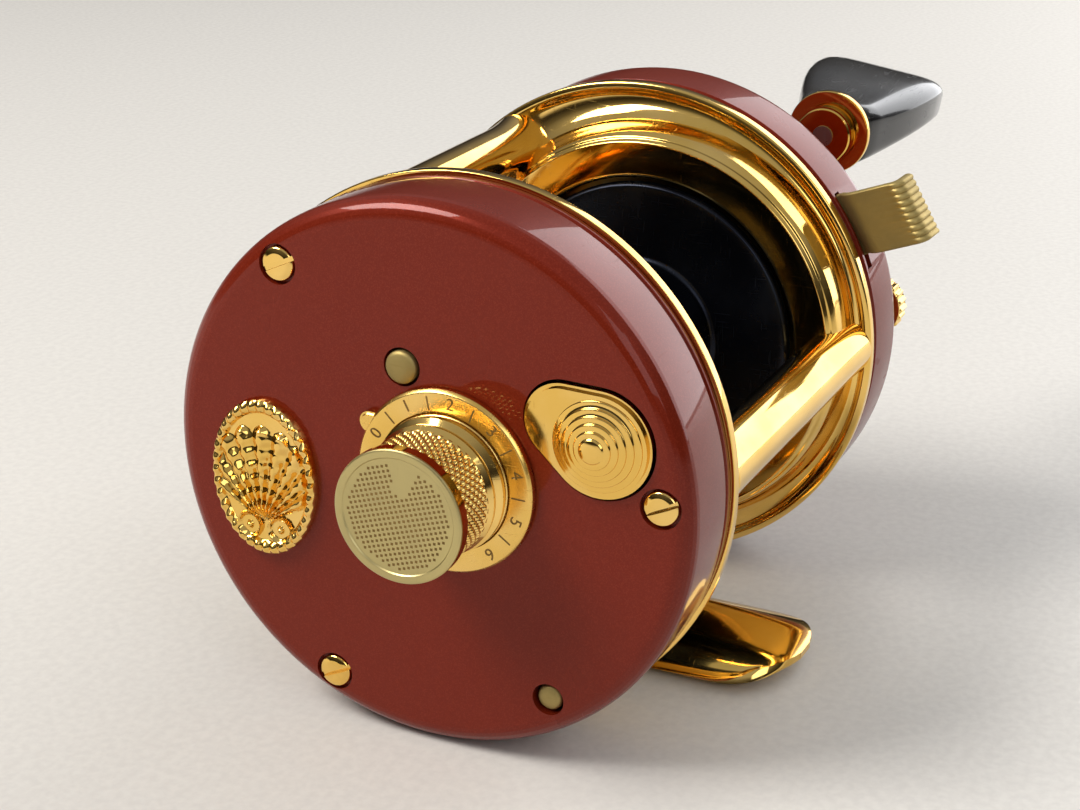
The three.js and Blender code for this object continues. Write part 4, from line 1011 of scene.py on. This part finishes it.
def paddle():
    """A flat paddle: rounded sections that widen from a narrow neck, then close in a full end.

    A station is (x, half width, half depth, lift of its middle).
    """
    stations = [
        (44.6, 4.3, 3.1, 0), (44.75, 4.65, 3.4, 0), (45.1, 4.9, 3.55, 0), (47, 5.5, 3.45, 0.1),
        (49, 6.2, 3.3, 0.35), (51.5, 7.0, 3.15, 0.7), (54, 7.7, 3.05, 1.05), (57, 8.3, 2.95, 1.4),
        (60, 8.6, 2.85, 1.6), (62.5, 8.6, 2.75, 1.6), (63.8, 8.4, 2.6, 1.55),
        (64.3, 8.15, 2.35, 1.5), (64.5, 7.8, 1.9, 1.45),
    ]
    squareness = 0.3
    sides = 120
    tilt = math.radians(PADDLE_TILT)
    rows = []
    for x, half_width, half_depth, lift in stations:
        row = []
        for i in range(sides):
            angle = 2 * math.pi * i / sides
            cos, sin = math.cos(angle), math.sin(angle)
            y = math.copysign(abs(cos) ** squareness, cos) * half_width
            crown = 0.82 + 0.22 * abs(sin) ** 2
            z = lift + math.copysign(abs(sin) ** squareness, sin) * half_depth * crown
            row.append((x, KNOB_AXIS[0] + y * math.cos(tilt) - z * math.sin(tilt),
                        KNOB_AXIS[1] + y * math.sin(tilt) + z * math.cos(tilt)))
        rows.append(row)
    return skin(rows, caps=True)


build_rings()
build_pillars()
build_foot()
build_covers()
build_screws()
build_pins()
build_badge()
build_dial()
build_cast_knob()
build_button()
build_spool()
build_level_wind()
build_spool_cap()
build_thumbscrews()
build_lever()
build_handle()

# ---- the CAD pieces that stay ----

for row in frame["record"]["subparts"]:
    node = frame["nodes"][row["node"]]
    look = LOOKS[row["material_slot"]]
    if node.material_slots:
        for material_slot in node.material_slots:
            material_slot.material = look
    else:
        node.data.materials.append(look)


# ---- floor, lights, camera ----


def build_floor():
    n = Nodes("pale_table")
    grain = n.noise(900, detail=4)
    tone = n.mix(n.ramp(grain, 0.35, 0.65), (0.69, 0.66, 0.61), (0.64, 0.61, 0.565))
    n.link(tone, n.shader.inputs["Base Color"])
    n.link(n.ramp(grain, 0.3, 0.7, 0.5, 0.62), n.shader.inputs["Roughness"])
    n.bump(grain, 0.1, 0.02)
    bm = bmesh.new()
    bmesh.ops.create_grid(bm, x_segments=2, y_segments=2, size=1.6)
    mesh = bpy.data.meshes.new("table_top")
    bm.to_mesh(mesh)
    bm.free()
    mesh.materials.append(n.material)
    made = bpy.data.objects.new("table_top", mesh)
    made.location.z = FLOOR_Z * MM
    bpy.context.scene.collection.objects.link(made)


def softbox(name, location, target, size, power, colour=(1, 1, 1)):
    lamp = bpy.data.lights.new(name, "AREA")
    lamp.shape = "RECTANGLE"
    lamp.size, lamp.size_y = size
    lamp.energy = power
    lamp.color = colour
    made = bpy.data.objects.new(name, lamp)
    made.location = location
    made.rotation_euler = (Vector(target) - Vector(location)).to_track_quat("-Z", "Y").to_euler()
    bpy.context.scene.collection.objects.link(made)


def build_lights():
    middle = (0, 0, 0.03)
    softbox("key", (-0.38, 0.46, 0.66), middle, (0.46, 0.31), 7.6, (1, 0.98, 0.95))
    softbox("fill", (-0.35, -0.42, 0.3), middle, (0.3, 0.3), 0.6, (0.92, 0.96, 1))
    softbox("rim", (0.48, -0.22, 0.24), middle, (0.55, 0.5), 2.7, (0.97, 0.98, 1))


def build_world():
    """A dim room: a warm floor below, dark walls, and a pale ceiling."""
    world = bpy.data.worlds.new("studio")
    world.use_nodes = True
    tree = world.node_tree
    coordinates = tree.nodes.new("ShaderNodeTexCoord")
    split = tree.nodes.new("ShaderNodeSeparateXYZ")
    ramp = tree.nodes.new("ShaderNodeValToRGB")
    tree.links.new(coordinates.outputs["Generated"], split.inputs["Vector"])
    lift = tree.nodes.new("ShaderNodeMapRange")
    lift.inputs["From Min"].default_value = -1
    tree.links.new(split.outputs["Z"], lift.inputs["Value"])
    tree.links.new(lift.outputs["Result"], ramp.inputs["Fac"])
    stops = ramp.color_ramp.elements
    stops[0].position, stops[0].color = 0.45, (0.2, 0.18, 0.16, 1)
    stops[1].position, stops[1].color = 1.0, (0.85, 0.88, 0.92, 1)
    between = ((0.53, (0.05, 0.045, 0.04, 1)), (0.66, (0.22, 0.21, 0.2, 1)), (0.8, (0.75, 0.76, 0.79, 1)))
    for position, colour in between:
        stop = stops.new(position)
        stop.color = colour
    background = tree.nodes["Background"]
    tree.links.new(ramp.outputs["Color"], background.inputs["Color"])
    background.inputs["Strength"].default_value = 0.5
    bpy.context.scene.world = world


def build_camera():
    data = bpy.data.cameras.new("camera")
    data.sensor_width = 36
    data.lens = 71.7
    camera = bpy.data.objects.new("camera", data)
    right = Vector((0.4340, -0.9009, 0.0074)).normalized()
    ahead = Vector((0.8393, 0.4013, -0.3668)).normalized()
    up = right.cross(ahead).normalized()
    matrix = Matrix((right, up, -ahead)).transposed().to_4x4()
    matrix.translation = (-0.2090, -0.0973, 0.1157)
    camera.matrix_world = matrix
    bpy.context.scene.collection.objects.link(camera)
    bpy.context.scene.camera = camera


build_floor()
build_lights()
build_world()
build_camera()
bpy.context.scene.view_settings.view_transform = "Standard"
